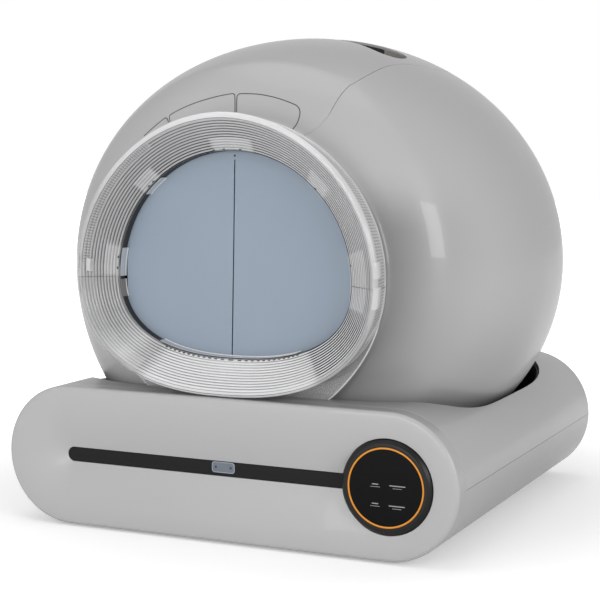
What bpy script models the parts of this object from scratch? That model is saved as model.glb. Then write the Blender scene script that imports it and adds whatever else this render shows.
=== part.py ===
"""Self cleaning litter box, as an assembly of separate pieces.

A round housing stands in the well of a low stadium-shaped base. A clear entrance ring with a slit
curtain closes its front. A drum turns inside it on two rollers and a rear spindle, driven by a
pinion on its ring gear, and drops the waste through a chute into a drawer in the base.
Metres, +Z up. The front faces -Y and the origin is on the floor below the middle of the base.
"""

import math

import bmesh
import bpy
from mathutils import Matrix, Vector

# Clearances and steps shared by all pieces
GAP = 0.0003
OVERRUN = 0.010
WALL = 0.003
MERGE = 0.00001
SMOOTH_ANGLE = 35.0

# Base: a stadium seen from the front, run from front to back
BASE_WIDTH = 0.600
BASE_HEIGHT = 0.1735
BASE_DEPTH = 0.565
BASE_REAR_FILLET = 0.006
BASE_ARC_STEPS = 12
FILLET_STEPS = 3
FOOT_HEIGHT = 0.003
FOOT_RADIUS = 0.014
FOOT_END_MARGIN = 0.110
FOOT_DEPTH_MARGIN = 0.0675

# Drawer front: the whole front of the base, dished towards its middle line
PANEL_DEPTH = 0.024
PANEL_FILLET = 0.005
DISH_DEPTH = 0.014
DISH_EXPONENT = 1.8
DISH_STEPS = 6
STRIP_HEIGHT = 0.0178
STRIP_END_INSET = 0.003
STRIP_THICKNESS = 0.002
STRIP_SLOT_CLEARANCE = 0.0003
POCKET_DEPTH = 0.005
POCKET_RIM = 0.006
TAB_WIDTH = 0.031
TAB_HEIGHT = 0.0135
TAB_THICKNESS = 0.0012
TAB_CORNER = 0.004
TAB_CORNER_STEPS = 3

# Control pod at the right end of the drawer front
POD_RADIUS = 0.0555
POD_PROUD = 0.003
POD_LENGTH = 0.047
POD_CHAMFER = 0.0045
POD_HOLE_CLEARANCE = 0.0007
POD_WALL = 0.003
PANEL_GLASS_RADIUS = 0.0446
LIGHT_RING_WIDTH = 0.0024
LIGHT_RING_DEPTH = 0.003
POD_STEPS = 28
BOARD_THICKNESS = 0.0016

# Waste drawer
BIN_SIDE_MARGIN = 0.150
BIN_REAR_MARGIN = 0.165
BIN_TOP_Z = 0.100
BIN_WALL = 0.0025
BIN_DRAFT = 0.004
BIN_CORNER = 0.020
RUNNER_HEIGHT = 0.003
RUNNER_WIDTH = 0.022
RUNNER_GUIDE_HEIGHT = 0.014
BAG_RING_WIDTH = 0.010
BAG_RING_HEIGHT = 0.003

# Well in the deck and the tray that lines it
DECK_SIDE_MARGIN = 0.0315
DECK_FRONT_MARGIN = 0.050
DECK_REAR_MARGIN = 0.020
WELL_FRONT_EXPONENT = 4.5
WELL_REAR_EXPONENT = 4.0
WELL_STEPS = 40
TRAY_FLOOR_Z = 0.108
TRAY_FLOOR = 0.005
TRAY_WALL = 0.0026
TRAY_DROP = 0.004
TRAY_POST_MARGIN = 0.0635
TRAY_POST_FRONT_Y = -0.120
TRAY_POST_REAR_Y = 0.150
TRAY_POST_RADIUS = 0.008
CHUTE_WIDTH = 0.170
CHUTE_CORNER = 0.020

# Globe housing: an oblate body behind a neck that follows the entrance ring
GLOBE_WIDTH_SHARE = 1.1806
GLOBE_TOP_RISE = 0.2935
GLOBE_BOTTOM_DROP = 0.288
GLOBE_CENTRE_Z = 0.3182
FRONT_SIDE_DEPTH_SHARE = 1.7405
FRONT_TOP_DEPTH_SHARE = 2.081
FRONT_BOTTOM_DEPTH_SHARE = 2.53
REAR_DEPTH_SHARE = 1.16
GLOBE_REAR_EXPONENT = 2.5
SHOULDER_REACH = 0.0515
GLOBE_REAR_MARGIN = 0.0125
GLOBE_SPACING_TURN = 70.0
NECK_OVERHANG = 0.004
NECK_LENGTH = 0.004
NECK_TURN = 0.010
AROUND_STEPS = 44
BLEND_STEPS = 4
GLOBE_STEPS = 9

# Lid over the front of the globe, and the hand recess in it
LID_HALF_WIDTH = 0.170
LID_FRONT_REACH = 0.0255
LID_REAR_SHARE = 0.48
LID_LOW_SHARE = 0.279
LID_SEAM = 0.0006
LID_SIDE_SHARES = (
    (0.50, 0.00), (0.505, 0.075), (0.54, 0.093), (0.61, 0.109), (0.66, 0.128), (0.705, 0.163),
    (0.745, 0.22), (0.766, 0.30), (0.79, 0.40), (0.82, 0.47), (0.87, 0.55), (0.93, 0.64),
    (0.965, 0.73), (0.95, 0.82), (0.853, 0.915), (0.647, 0.970), (0.353, 0.995), (0.00, 1.000),
)
RECESS_HALF_WIDTH = 0.135
RECESS_MIDDLE_Y = -0.025
RECESS_FRONT_Y = -0.058
RECESS_REAR_Y = 0.008
RECESS_DROP = 0.0382
RECESS_WALL = 0.002
RECESS_SIDE_SHARES = (
    (0.0, 0.0), (0.25, 0.10), (0.50, 0.40), (0.70, 0.80), (0.80, 0.97), (0.88, 1.0), (0.95, 0.86),
    (0.99, 0.60), (1.0, 0.20), (0.97, -0.30), (0.86, -0.75), (0.66, -0.95), (0.40, -1.0), (0.0, -1.0),
)

# Rear cover and the spindle that carries the back of the drum
REAR_COVER_INSET = 0.0006
REAR_COVER_THICKNESS = 0.004
SPINDLE_RADIUS = 0.010
SPINDLE_BOSS_RADIUS = 0.020
SPINDLE_BOSS_LENGTH = 0.022
BUSH_WALL = 0.003
ROUND_STEPS = 24
CORNER_STEPS = 4

# Entrance ring: egg-shaped outlines as half width, height of the widest point, top, bottom and
# the exponent of the lower curve
LIP_OUTLINE = (0.199, 0.3352, 0.5132, 0.1775, 2.25)
MOUTH_OUTLINE = (0.1555, 0.3152, 0.4682, 0.2197, 2.4)
RING_STEPS = 40
RING_WIDTH = 0.045
RING_LIP_REACH = 0.030
RING_MOUTH_REACH = 0.013
RING_LIP_RADIUS = 0.0075
RING_BACK_INSET = 0.009
RING_SKIN = 0.0026
RING_RIBS = 12
RIB_TREAD_SHARE = 0.72
RING_SPLIT_Z = 0.3132
RING_SPLIT_GAP = 0.0004
RING_FOOT_HALF_WIDTH = 0.122
RING_FOOT_TOP_HALF_WIDTH = 0.190
RING_FOOT_TOP_Z = 0.312
RING_FOOT_BEND = 2.2
RING_FOOT_STEPS = 8
LIP_ROLL_ANGLE = 155.0
LIP_ROLL_STEPS = 6
CLIP_HEIGHT = 0.056
CLIP_THICKNESS = 0.0025
CLIP_MARGIN = 0.004

# Gasket, curtain and the bulkhead that closes the neck
GASKET_OUT = 0.0045
GASKET_IN = 0.001
CURTAIN_THICKNESS = 0.0015
CURTAIN_HINGE_X = 0.118
CURTAIN_HINGE_GAP = 0.0014
CURTAIN_MARGIN = 0.005
CURTAIN_TOP_DROP = 0.009
CURTAIN_BOTTOM_LIFT = 0.003
SLIT_HALF_WIDTH = 0.0006
SLIT_TOP_X = -0.0014
SLIT_BOTTOM_X = -0.0062
BULKHEAD_THICKNESS = 0.003
BULKHEAD_MARGIN = 0.006
CURTAIN_STEPS = 20

# Drum
DRUM_AXIS_Z = 0.3452
DRUM_FRONT_GAP = 0.0315
DRUM_REAR_GAP = 0.045
DRUM_RADIUS = 0.2165
DRUM_PORT_RADIUS = 0.174
DRUM_FRONT_RADIUS = 0.187
DRUM_TRACK_RADIUS = 0.2145
DRUM_TRACK_MARGIN = 0.088
DRUM_TRACK_WIDTH = 0.022
DRUM_SEAT_RADIUS = 0.200
DRUM_SEAT_MARGIN = 0.036
DRUM_SEAT_WIDTH = 0.026
DRUM_REAR_RADIUS = 0.165
DRUM_HUB_RADIUS = 0.022
DRUM_HUB_LENGTH = 0.020
DRUM_STEPS = 36
DRUM_FRONT_STEPS = 4
DRUM_REAR_STEPS = 3
DRUM_FLAT_SHARE = 0.684
DUMP_ANGLE_START = 62.0
DUMP_ANGLE_END = 104.0
DUMP_MARGIN = 0.008
PORT_TRIM_RADIUS = 0.181
PORT_TRIM_THICKNESS = 0.002

# Sieve across one side of the drum
SIEVE_THICKNESS = 0.003
SIEVE_MARGIN = 0.003
SIEVE_START_ANGLE = 108.0
SIEVE_END_ANGLE = 186.0
SIEVE_EDGE_RADIUS = 0.2125
SIEVE_RIM = 0.012
SIEVE_COLUMNS = 6
SIEVE_ROWS = 5
SIEVE_BAR = 0.006
SIEVE_EAR_HEIGHT = 0.010

# Drive
GEAR_MODULE = 0.0065
RING_TEETH = 64
PINION_TEETH = 8
GEAR_ADDENDUM = 0.0025
GEAR_DEDENDUM = 0.0030
GEAR_BACKLASH = 0.0009
GEAR_WIDTH = 0.014
PRESSURE_ANGLE = 20.0
PINION_ANGLE = -55.0
PINION_WIDTH = 0.016
SHAFT_RADIUS = 0.004
MOTOR_RADIUS = 0.0170
MOTOR_LENGTH = 0.050
MOTOR_STEP_RADIUS = 0.0102
BRACKET_THICKNESS = 0.004
BRACKET_RADIUS = 0.0195
BRACKET_FOOT_LENGTH = 0.022

# Rollers under the drum
ROLLER_RADIUS = 0.012
ROLLER_WIDTH = 0.016
ROLLER_ANGLE = 28.0
ROLLER_PIN_RADIUS = 0.003
ROLLER_SIDE_GAP = 0.0005
EAR_THICKNESS = 0.004
EAR_WIDTH = 0.018
EAR_HEAD = 0.008
HEAD_STEPS = 8

# Power inlet
INLET_Z = 0.050
INLET_RADIUS = 0.008
INLET_DEPTH = 0.014
INLET_FLANGE = 0.0035
INLET_PIN_RADIUS = 0.0012

# Places worked out from the sizes above
BASE_FRONT_Y = -BASE_DEPTH / 2
BASE_REAR_Y = BASE_DEPTH / 2
BASE_RADIUS = BASE_HEIGHT / 2
FOOT_SPREAD_X = BASE_WIDTH / 2 - FOOT_END_MARGIN
FOOT_SPREAD_Y = BASE_DEPTH / 2 - FOOT_DEPTH_MARGIN
BIN_WIDTH = BASE_WIDTH - 2 * BIN_SIDE_MARGIN
BIN_LENGTH = BASE_DEPTH - BIN_REAR_MARGIN
WELL_HALF_WIDTH = BASE_WIDTH / 2 - DECK_SIDE_MARGIN
WELL_FRONT_Y = BASE_FRONT_Y + DECK_FRONT_MARGIN
WELL_REAR_Y = BASE_REAR_Y - DECK_REAR_MARGIN
TRAY_POST_X = WELL_HALF_WIDTH - TRAY_POST_MARGIN
NECK_FRONT_Y = WELL_FRONT_Y - NECK_OVERHANG
GLOBE_SHOULDER_Y = NECK_FRONT_Y + SHOULDER_REACH
GLOBE_REAR_Y = WELL_REAR_Y - GLOBE_REAR_MARGIN
GLOBE_HALF_WIDTH = WELL_HALF_WIDTH * GLOBE_WIDTH_SHARE
GLOBE_FRONT_SIDE_DEPTH = -GLOBE_SHOULDER_Y * FRONT_SIDE_DEPTH_SHARE
GLOBE_FRONT_TOP_DEPTH = -GLOBE_SHOULDER_Y * FRONT_TOP_DEPTH_SHARE
GLOBE_FRONT_BOTTOM_DEPTH = -GLOBE_SHOULDER_Y * FRONT_BOTTOM_DEPTH_SHARE
GLOBE_REAR_DEPTH = GLOBE_REAR_Y * REAR_DEPTH_SHARE
LID_FRONT_Y = NECK_FRONT_Y - LID_FRONT_REACH
LID_REAR_Y = GLOBE_REAR_Y * LID_REAR_SHARE
LID_LOW_Z = GLOBE_CENTRE_Z + GLOBE_TOP_RISE * LID_LOW_SHARE
RECESS_FLOOR_Z = GLOBE_CENTRE_Z + GLOBE_TOP_RISE - RECESS_DROP
RING_LIP_Y = NECK_FRONT_Y - RING_LIP_REACH
RING_MOUTH_Y = NECK_FRONT_Y - RING_MOUTH_REACH
DRUM_FRONT_Y = NECK_FRONT_Y + DRUM_FRONT_GAP
DRUM_REAR_Y = GLOBE_REAR_Y - DRUM_REAR_GAP
DRUM_TRACK_Y = DRUM_FRONT_Y + DRUM_TRACK_MARGIN
DRUM_SEAT_Y = DRUM_REAR_Y - DRUM_SEAT_MARGIN
DRUM_FLAT_HALF = -DRUM_TRACK_Y * DRUM_FLAT_SHARE
DUMP_HALF_LENGTH = DRUM_FLAT_HALF - DUMP_MARGIN
SIEVE_HALF_LENGTH = DRUM_FLAT_HALF - SIEVE_MARGIN
INLET_X = FOOT_SPREAD_X
BASE_MIDDLE_Z = FOOT_HEIGHT + BASE_RADIUS
BASE_END_X = BASE_WIDTH / 2 - BASE_RADIUS
STRIP_END_X = BASE_END_X - STRIP_END_INSET
DECK_Z = FOOT_HEIGHT + BASE_HEIGHT
PANEL_BACK_Y = BASE_FRONT_Y + PANEL_DEPTH
SHELL_FRONT_Y = PANEL_BACK_Y + GAP
FLOOR_Z = FOOT_HEIGHT + WALL
STRIP_RADIUS = STRIP_HEIGHT / 2
TRAY_TOP_Z = TRAY_FLOOR_Z + TRAY_FLOOR
RUNNER_TOP_Z = FLOOR_Z + GAP + RUNNER_HEIGHT
BIN_BOTTOM_Z = RUNNER_TOP_Z + GAP
RING_BACK_Y = NECK_FRONT_Y - GAP
GASKET_FRONT_Y = RING_MOUTH_Y + GAP
CURTAIN_Y = NECK_FRONT_Y + GAP + CURTAIN_THICKNESS / 2
GASKET_BACK_Y = CURTAIN_Y - CURTAIN_THICKNESS / 2 - GAP
BULKHEAD_Y = NECK_FRONT_Y + GAP + BULKHEAD_THICKNESS / 2
RING_PITCH_RADIUS = GEAR_MODULE * RING_TEETH / 2
PINION_PITCH_RADIUS = GEAR_MODULE * PINION_TEETH / 2
GEAR_CENTRES = RING_PITCH_RADIUS + PINION_PITCH_RADIUS
PINION_X = GEAR_CENTRES * math.cos(math.radians(PINION_ANGLE))
PINION_Z = DRUM_AXIS_Z + GEAR_CENTRES * math.sin(math.radians(PINION_ANGLE))
ROLLER_CENTRES = DRUM_TRACK_RADIUS + GAP + ROLLER_RADIUS
ROLLER_X = ROLLER_CENTRES * math.sin(math.radians(ROLLER_ANGLE))
ROLLER_Z = DRUM_AXIS_Z - ROLLER_CENTRES * math.cos(math.radians(ROLLER_ANGLE))
SPINDLE_FRONT_Y = DRUM_REAR_Y - WALL
COVER_FRONT_Y = GLOBE_REAR_Y + GAP

COLLECTION_NAME = "self_cleaning_litter_box"
CUTTER_COLLECTION_NAME = "cutters"

COLOURS = {
    "shell_grey": ((0.42, 0.42, 0.43), 0.45, 0.0),
    "clear": ((0.80, 0.82, 0.84), 0.10, 0.0),
    "gloss_black": ((0.010, 0.010, 0.012), 0.15, 0.0),
    "strip_black": ((0.012, 0.012, 0.013), 0.35, 0.0),
    "tab_blue": ((0.08, 0.10, 0.13), 0.30, 0.0),
    "orange": ((0.75, 0.28, 0.01), 0.30, 0.0),
    "curtain_blue": ((0.28, 0.33, 0.39), 0.55, 0.0),
    "dark_plastic": ((0.030, 0.030, 0.032), 0.55, 0.0),
    "drum_grey": ((0.22, 0.23, 0.24), 0.50, 0.0),
    "bin_grey": ((0.10, 0.10, 0.11), 0.50, 0.0),
    "rubber_black": ((0.015, 0.015, 0.015), 0.80, 0.0),
    "nylon_white": ((0.70, 0.70, 0.68), 0.45, 0.0),
    "steel": ((0.55, 0.55, 0.56), 0.30, 1.0),
    "board_green": ((0.02, 0.16, 0.06), 0.50, 0.0),
    "recess_beige": ((0.36, 0.34, 0.31), 0.50, 0.0),
}


def clear_scene():
    """Remove what the scene holds."""
    for thing in list(bpy.data.objects):
        bpy.data.objects.remove(thing, do_unlink=True)


def make_collection(name):
    """A collection linked to the scene."""
    made = bpy.data.collections.new(name)
    bpy.context.scene.collection.children.link(made)
    return made


def make_material(name):
    """A Principled material with one of the part's colours."""
    if name in bpy.data.materials:
        return bpy.data.materials[name]
    colour, roughness, metallic = COLOURS[name]
    made = bpy.data.materials.new(name)
    made.use_nodes = True
    shader = made.node_tree.nodes["Principled BSDF"]
    shader.inputs["Base Color"].default_value = (*colour, 1.0)
    shader.inputs["Roughness"].default_value = roughness
    shader.inputs["Metallic"].default_value = metallic
    made.diffuse_color = (*colour, 1.0)
    return made


def place(mesh, name, colour, smooth=True):
    """A new object for a mesh: a piece if it has a colour, and otherwise a cutter."""
    made = bpy.data.objects.new(name, mesh)
    if colour is None:
        bpy.data.collections[CUTTER_COLLECTION_NAME].objects.link(made)
        made.hide_render = True
        made.display_type = "WIRE"
        return made
    bpy.data.collections[COLLECTION_NAME].objects.link(made)
    own = make_material(colour).copy()
    own.name = name
    mesh.materials.append(own)
    if smooth:
        mesh.shade_smooth()
        mesh.set_sharp_from_angle(angle=math.radians(SMOOTH_ANGLE))
    return made


def boolean(target, tool, operation="DIFFERENCE"):
    """Cut, join or trim a piece with another object."""
    step = target.modifiers.new(tool.name, "BOOLEAN")
    step.operation = operation
    step.solver = "EXACT"
    step.object = tool


def attach(piece, axis):
    """Hang a piece on the empty that marks its joint, where it stands."""
    piece.parent = axis
    piece.matrix_parent_inverse = Matrix.Translation(-axis.location)


def axis_empty(name, place_at):
    """An empty on a joint's axis."""
    made = bpy.data.objects.new(name, None)
    bpy.data.collections[COLLECTION_NAME].objects.link(made)
    made.location = place_at
    return made


def new_mesh(name, bm):
    """Close a bmesh into a mesh whose faces point outwards."""
    bmesh.ops.recalc_face_normals(bm, faces=bm.faces)
    mesh = bpy.data.meshes.new(name)
    bm.to_mesh(mesh)
    bm.free()
    return mesh


def box(name, low, high, colour, bevel=None):
    """A box between two corners."""
    low = Vector(low)
    high = Vector(high)
    bm = bmesh.new()
    bmesh.ops.create_cube(bm, size=1.0)
    bmesh.ops.scale(bm, vec=high - low, verts=bm.verts)
    bmesh.ops.translate(bm, vec=(low + high) / 2, verts=bm.verts)
    if bevel:
        bmesh.ops.bevel(
            bm, geom=bm.edges, offset=bevel, segments=2, profile=0.5, affect="EDGES", material=-1
        )
    return place(new_mesh(name, bm), name, colour)


def outline_prism(name, outlines, low, high, colour, upright=False):
    """A flat outline with its holes, run along Z, or along Y where it stands upright."""
    curve = bpy.data.curves.new(name, "CURVE")
    curve.dimensions = "2D"
    curve.fill_mode = "BOTH"
    curve.extrude = (high - low) / 2
    for points in outlines:
        spline = curve.splines.new("POLY")
        spline.points.add(len(points) - 1)
        for spot, (across, up) in zip(spline.points, points):
            spot.co = (across, up, 0, 1)
        spline.use_cyclic_u = True
    drawn = bpy.data.objects.new(name, curve)
    bpy.context.scene.collection.objects.link(drawn)
    middle = (low + high) / 2
    if upright:
        drawn.rotation_euler = (math.pi / 2, 0, 0)
        drawn.location = (0, middle, 0)
    else:
        drawn.location = (0, 0, middle)
    bpy.context.view_layer.update()
    evaluated = drawn.evaluated_get(bpy.context.evaluated_depsgraph_get())
    mesh = bpy.data.meshes.new_from_object(evaluated)
    turn = drawn.matrix_world.copy()
    bpy.data.objects.remove(drawn, do_unlink=True)
    bpy.data.curves.remove(curve)
    bm = bmesh.new()
    bm.from_mesh(mesh)
    bmesh.ops.remove_doubles(bm, verts=bm.verts, dist=MERGE)
    bpy.data.meshes.remove(mesh)
    made = place(new_mesh(name, bm), name, colour)
    made.matrix_world = turn
    return made


def turned(name, profile, colour, at=(0, 0, 0), steps=ROUND_STEPS, along="Y"):
    """A closed profile of (radius, place along the axis), turned about Y, or about Z."""
    mesh = bpy.data.meshes.new(name)
    points = [(radius, 0, reach) for radius, reach in profile]
    edges = [(index, (index + 1) % len(points)) for index in range(len(points))]
    if profile[0][0] == 0 and profile[-1][0] == 0:
        edges = edges[:-1]
    mesh.from_pydata(points, edges, [])
    spun = bpy.data.objects.new(name, mesh)
    bpy.context.scene.collection.objects.link(spun)
    step = spun.modifiers.new("turn", "SCREW")
    step.axis = "Z"
    step.angle = 2 * math.pi
    step.steps = steps
    step.render_steps = steps
    step.use_merge_vertices = True
    step.merge_threshold = MERGE
    bpy.context.view_layer.update()
    evaluated = spun.evaluated_get(bpy.context.evaluated_depsgraph_get())
    solid = bpy.data.meshes.new_from_object(evaluated)
    bpy.data.objects.remove(spun, do_unlink=True)
    bpy.data.meshes.remove(mesh)
    bm = bmesh.new()
    bm.from_mesh(solid)
    bmesh.ops.remove_doubles(bm, verts=bm.verts, dist=MERGE)
    bpy.data.meshes.remove(solid)
    made = place(new_mesh(name, bm), name, colour)
    made.location = at
    if along == "Y":
        made.rotation_euler = (-math.pi / 2, 0, 0)
    return made


def loft(name, rings, colour, around_hole=False):
    """Join closed rings of points in order, closed by end faces or, round a hole, back to the first."""
    bm = bmesh.new()
    loops = []
    for ring in rings:
        loops.append([bm.verts.new(point) for point in ring])
    pairs = list(zip(loops, loops[1:]))
    if around_hole:
        pairs.append((loops[-1], loops[0]))
    else:
        bm.faces.new(loops[0])
        bm.faces.new(loops[-1])
    for first, second in pairs:
        for index in range(len(first)):
            after = (index + 1) % len(first)
            bm.faces.new((first[index], first[after], second[after], second[index]))
    return place(new_mesh(name, bm), name, colour)


def signed_power(value, exponent):
    """A power that keeps the sign."""
    return math.copysign(abs(value) ** exponent, value)


def egg_point(outline, angle, inset=0.0):
    """A point of an egg-shaped outline, as (x, z)."""
    half_width, wide_z, top_z, bottom_z, low_exponent = outline
    rise = math.sin(angle)
    exponent = 2.0 if rise >= 0 else low_exponent
    height = top_z - wide_z if rise >= 0 else wide_z - bottom_z
    across = (half_width - inset) * signed_power(math.cos(angle), 2 / exponent)
    up = wide_z + (height - inset) * signed_power(rise, 2 / exponent)
    return across, up


def ring_point(angle, depth):
    """A point of the entrance ring's section, depth in from the lip towards the mouth."""
    share = depth / RING_WIDTH
    lip = egg_point(LIP_OUTLINE, angle)
    mouth = egg_point(MOUTH_OUTLINE, angle)
    across = lip[0] + (mouth[0] - lip[0]) * share
    up = lip[1] + (mouth[1] - lip[1]) * share
    return across, up


def angles(steps):
    """Evenly spaced angles of one turn."""
    return [2 * math.pi * index / steps for index in range(steps)]


def circle(radius, across, up, steps):
    """A circle as a list of (x, z)."""
    return [(across + radius * math.cos(angle), up + radius * math.sin(angle)) for angle in angles(steps)]


def ring_outline(depth, steps=RING_STEPS):
    """An outline of the entrance ring's family, as a list of (x, z)."""
    return [ring_point(angle, depth) for angle in angles(steps)]


def rounded_rectangle(half_x, half_y, corner, centre_y=0.0, steps=CORNER_STEPS):
    """A rectangle with round corners, as a list of (x, y)."""
    points = []
    for quarter, (side_x, side_y) in enumerate(((1, 1), (-1, 1), (-1, -1), (1, -1))):
        for index in range(steps + 1):
            angle = math.pi / 2 * (quarter + index / steps)
            across = side_x * (half_x - corner) + corner * math.cos(angle)
            along = side_y * (half_y - corner) + corner * math.sin(angle)
            points.append((across, centre_y + along))
    return points


def stadium(radius, centre_z=BASE_MIDDLE_Z, end_x=BASE_END_X, steps=BASE_ARC_STEPS):
    """A stadium round the base's middle line, as a list of (x, z)."""
    points = []
    for side, start in ((1, -math.pi / 2), (-1, math.pi / 2)):
        for index in range(steps + 1):
            angle = start + math.pi * index / steps
            points.append((side * end_x + radius * math.cos(angle), centre_z + radius * math.sin(angle)))
    return points


def at_y(points, along):
    """Points of (x, z) stood up at one y."""
    return [(across, along, up) for across, up in points]


def stadium_solid(name, inset, front_y, rear_y, fillet, colour):
    """The base's outer form drawn in by an inset, with a round rear edge."""
    rings = [at_y(stadium(BASE_RADIUS - inset), front_y)]
    for index in range(FILLET_STEPS + 1):
        angle = math.pi / 2 * index / FILLET_STEPS
        radius = BASE_RADIUS - inset - fillet * (1 - math.cos(angle))
        rings.append(at_y(stadium(radius), rear_y - fillet + fillet * math.sin(angle)))
    return loft(name, rings, colour)


def well_outline(inset):
    """The well's outline seen from above, drawn in by an inset."""
    centre = (WELL_FRONT_Y + WELL_REAR_Y) / 2
    half_length = (WELL_REAR_Y - WELL_FRONT_Y) / 2 - inset
    points = []
    for angle in angles(WELL_STEPS):
        along = math.sin(angle)
        exponent = WELL_REAR_EXPONENT if along >= 0 else WELL_FRONT_EXPONENT
        across = (WELL_HALF_WIDTH - inset) * signed_power(math.cos(angle), 2 / exponent)
        points.append((across, centre + half_length * signed_power(along, 2 / exponent)))
    return points


def globe_section(along, inset):
    """The housing's section at a place along its depth, as a list of (x, z)."""
    depths = (GLOBE_FRONT_SIDE_DEPTH, GLOBE_FRONT_TOP_DEPTH, GLOBE_FRONT_BOTTOM_DEPTH)
    exponent = 2.0
    if along > 0:
        depths = (GLOBE_REAR_DEPTH, GLOBE_REAR_DEPTH, GLOBE_REAR_DEPTH)
        exponent = GLOBE_REAR_EXPONENT
    side, top, bottom = [
        (1 - abs(along / (depth - inset)) ** exponent) ** (1 / exponent) for depth in depths
    ]
    wide = (GLOBE_HALF_WIDTH - inset) * side
    points = []
    for angle in angles(AROUND_STEPS):
        rise = math.sin(angle)
        high = (GLOBE_TOP_RISE - inset) * top if rise >= 0 else (GLOBE_BOTTOM_DROP - inset) * bottom
        points.append((wide * math.cos(angle), GLOBE_CENTRE_Z + high * rise))
    return points


def globe_rings(inset):
    """Rings of the housing's form from its neck to its flat rear, drawn in by an inset."""
    neck = ring_outline(RING_BACK_INSET + inset, AROUND_STEPS)
    neck_back_y = NECK_FRONT_Y + NECK_LENGTH + inset
    front_y = NECK_FRONT_Y - (OVERRUN if inset else 0)
    shoulder = globe_section(GLOBE_SHOULDER_Y, inset)
    depth = GLOBE_FRONT_SIDE_DEPTH - inset
    shoulder_width = max(across for across, up in shoulder)
    neck_width = max(across for across, up in neck)
    lean = -GLOBE_SHOULDER_Y / depth / math.sqrt(1 - (GLOBE_SHOULDER_Y / depth) ** 2)
    widening = (GLOBE_HALF_WIDTH - inset) / depth * lean
    reach = GLOBE_SHOULDER_Y - neck_back_y
    turn_share = 1 - (reach - NECK_TURN) * widening / (shoulder_width - neck_width)
    rings = [at_y(neck, front_y), at_y(neck, neck_back_y)]
    for index in range(1, BLEND_STEPS):
        u = index / BLEND_STEPS
        share = 3 * u * u * (1 - u) * turn_share + u ** 3
        along = neck_back_y + 3 * u * (1 - u) * NECK_TURN + u ** 3 * reach
        mixed = [
            (n[0] + (s[0] - n[0]) * share, n[1] + (s[1] - n[1]) * share)
            for n, s in zip(neck, shoulder)
        ]
        rings.append(at_y(mixed, along))
    end = math.radians(GLOBE_SPACING_TURN)
    start = math.asin(GLOBE_SHOULDER_Y / GLOBE_REAR_Y * math.sin(end))
    for index in range(GLOBE_STEPS + 1):
        turn = start + (end - start) * index / GLOBE_STEPS
        along = GLOBE_REAR_Y * math.sin(turn) / math.sin(end)
        rings.append(at_y(globe_section(along, inset), along))
    if inset:
        rings.append(at_y(globe_section(GLOBE_REAR_Y, inset), GLOBE_REAR_Y + OVERRUN))
    return rings


def mirrored_plan(side_shares, half_width, place_along):
    """A closed outline from the shares of its right side, from front to back."""
    right = [(across * half_width, place_along(along)) for across, along in side_shares]
    left = [(-across, along) for across, along in reversed(right) if across > 0]
    return right + left


def lid_outline():
    """The lid's outline seen from above."""
    return mirrored_plan(
        LID_SIDE_SHARES, LID_HALF_WIDTH, lambda share: LID_FRONT_Y + (LID_REAR_Y - LID_FRONT_Y) * share
    )


def grown(points, margin):
    """An outline moved out from its centre by about a margin."""
    centre = Vector((0, sum(along for across, along in points) / len(points)))
    moved = []
    for across, along in points:
        spoke = Vector((across, along)) - centre
        moved.append(tuple(centre + spoke + spoke.normalized() * margin))
    return moved


def recess_outline():
    """The hand recess seen from above: a slot whose front edge bows back in the middle."""
    def along(share):
        if share >= 0:
            return RECESS_MIDDLE_Y + (RECESS_FRONT_Y - RECESS_MIDDLE_Y) * share
        return RECESS_MIDDLE_Y + (RECESS_MIDDLE_Y - RECESS_REAR_Y) * share

    return mirrored_plan(RECESS_SIDE_SHARES, RECESS_HALF_WIDTH, along)


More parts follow.
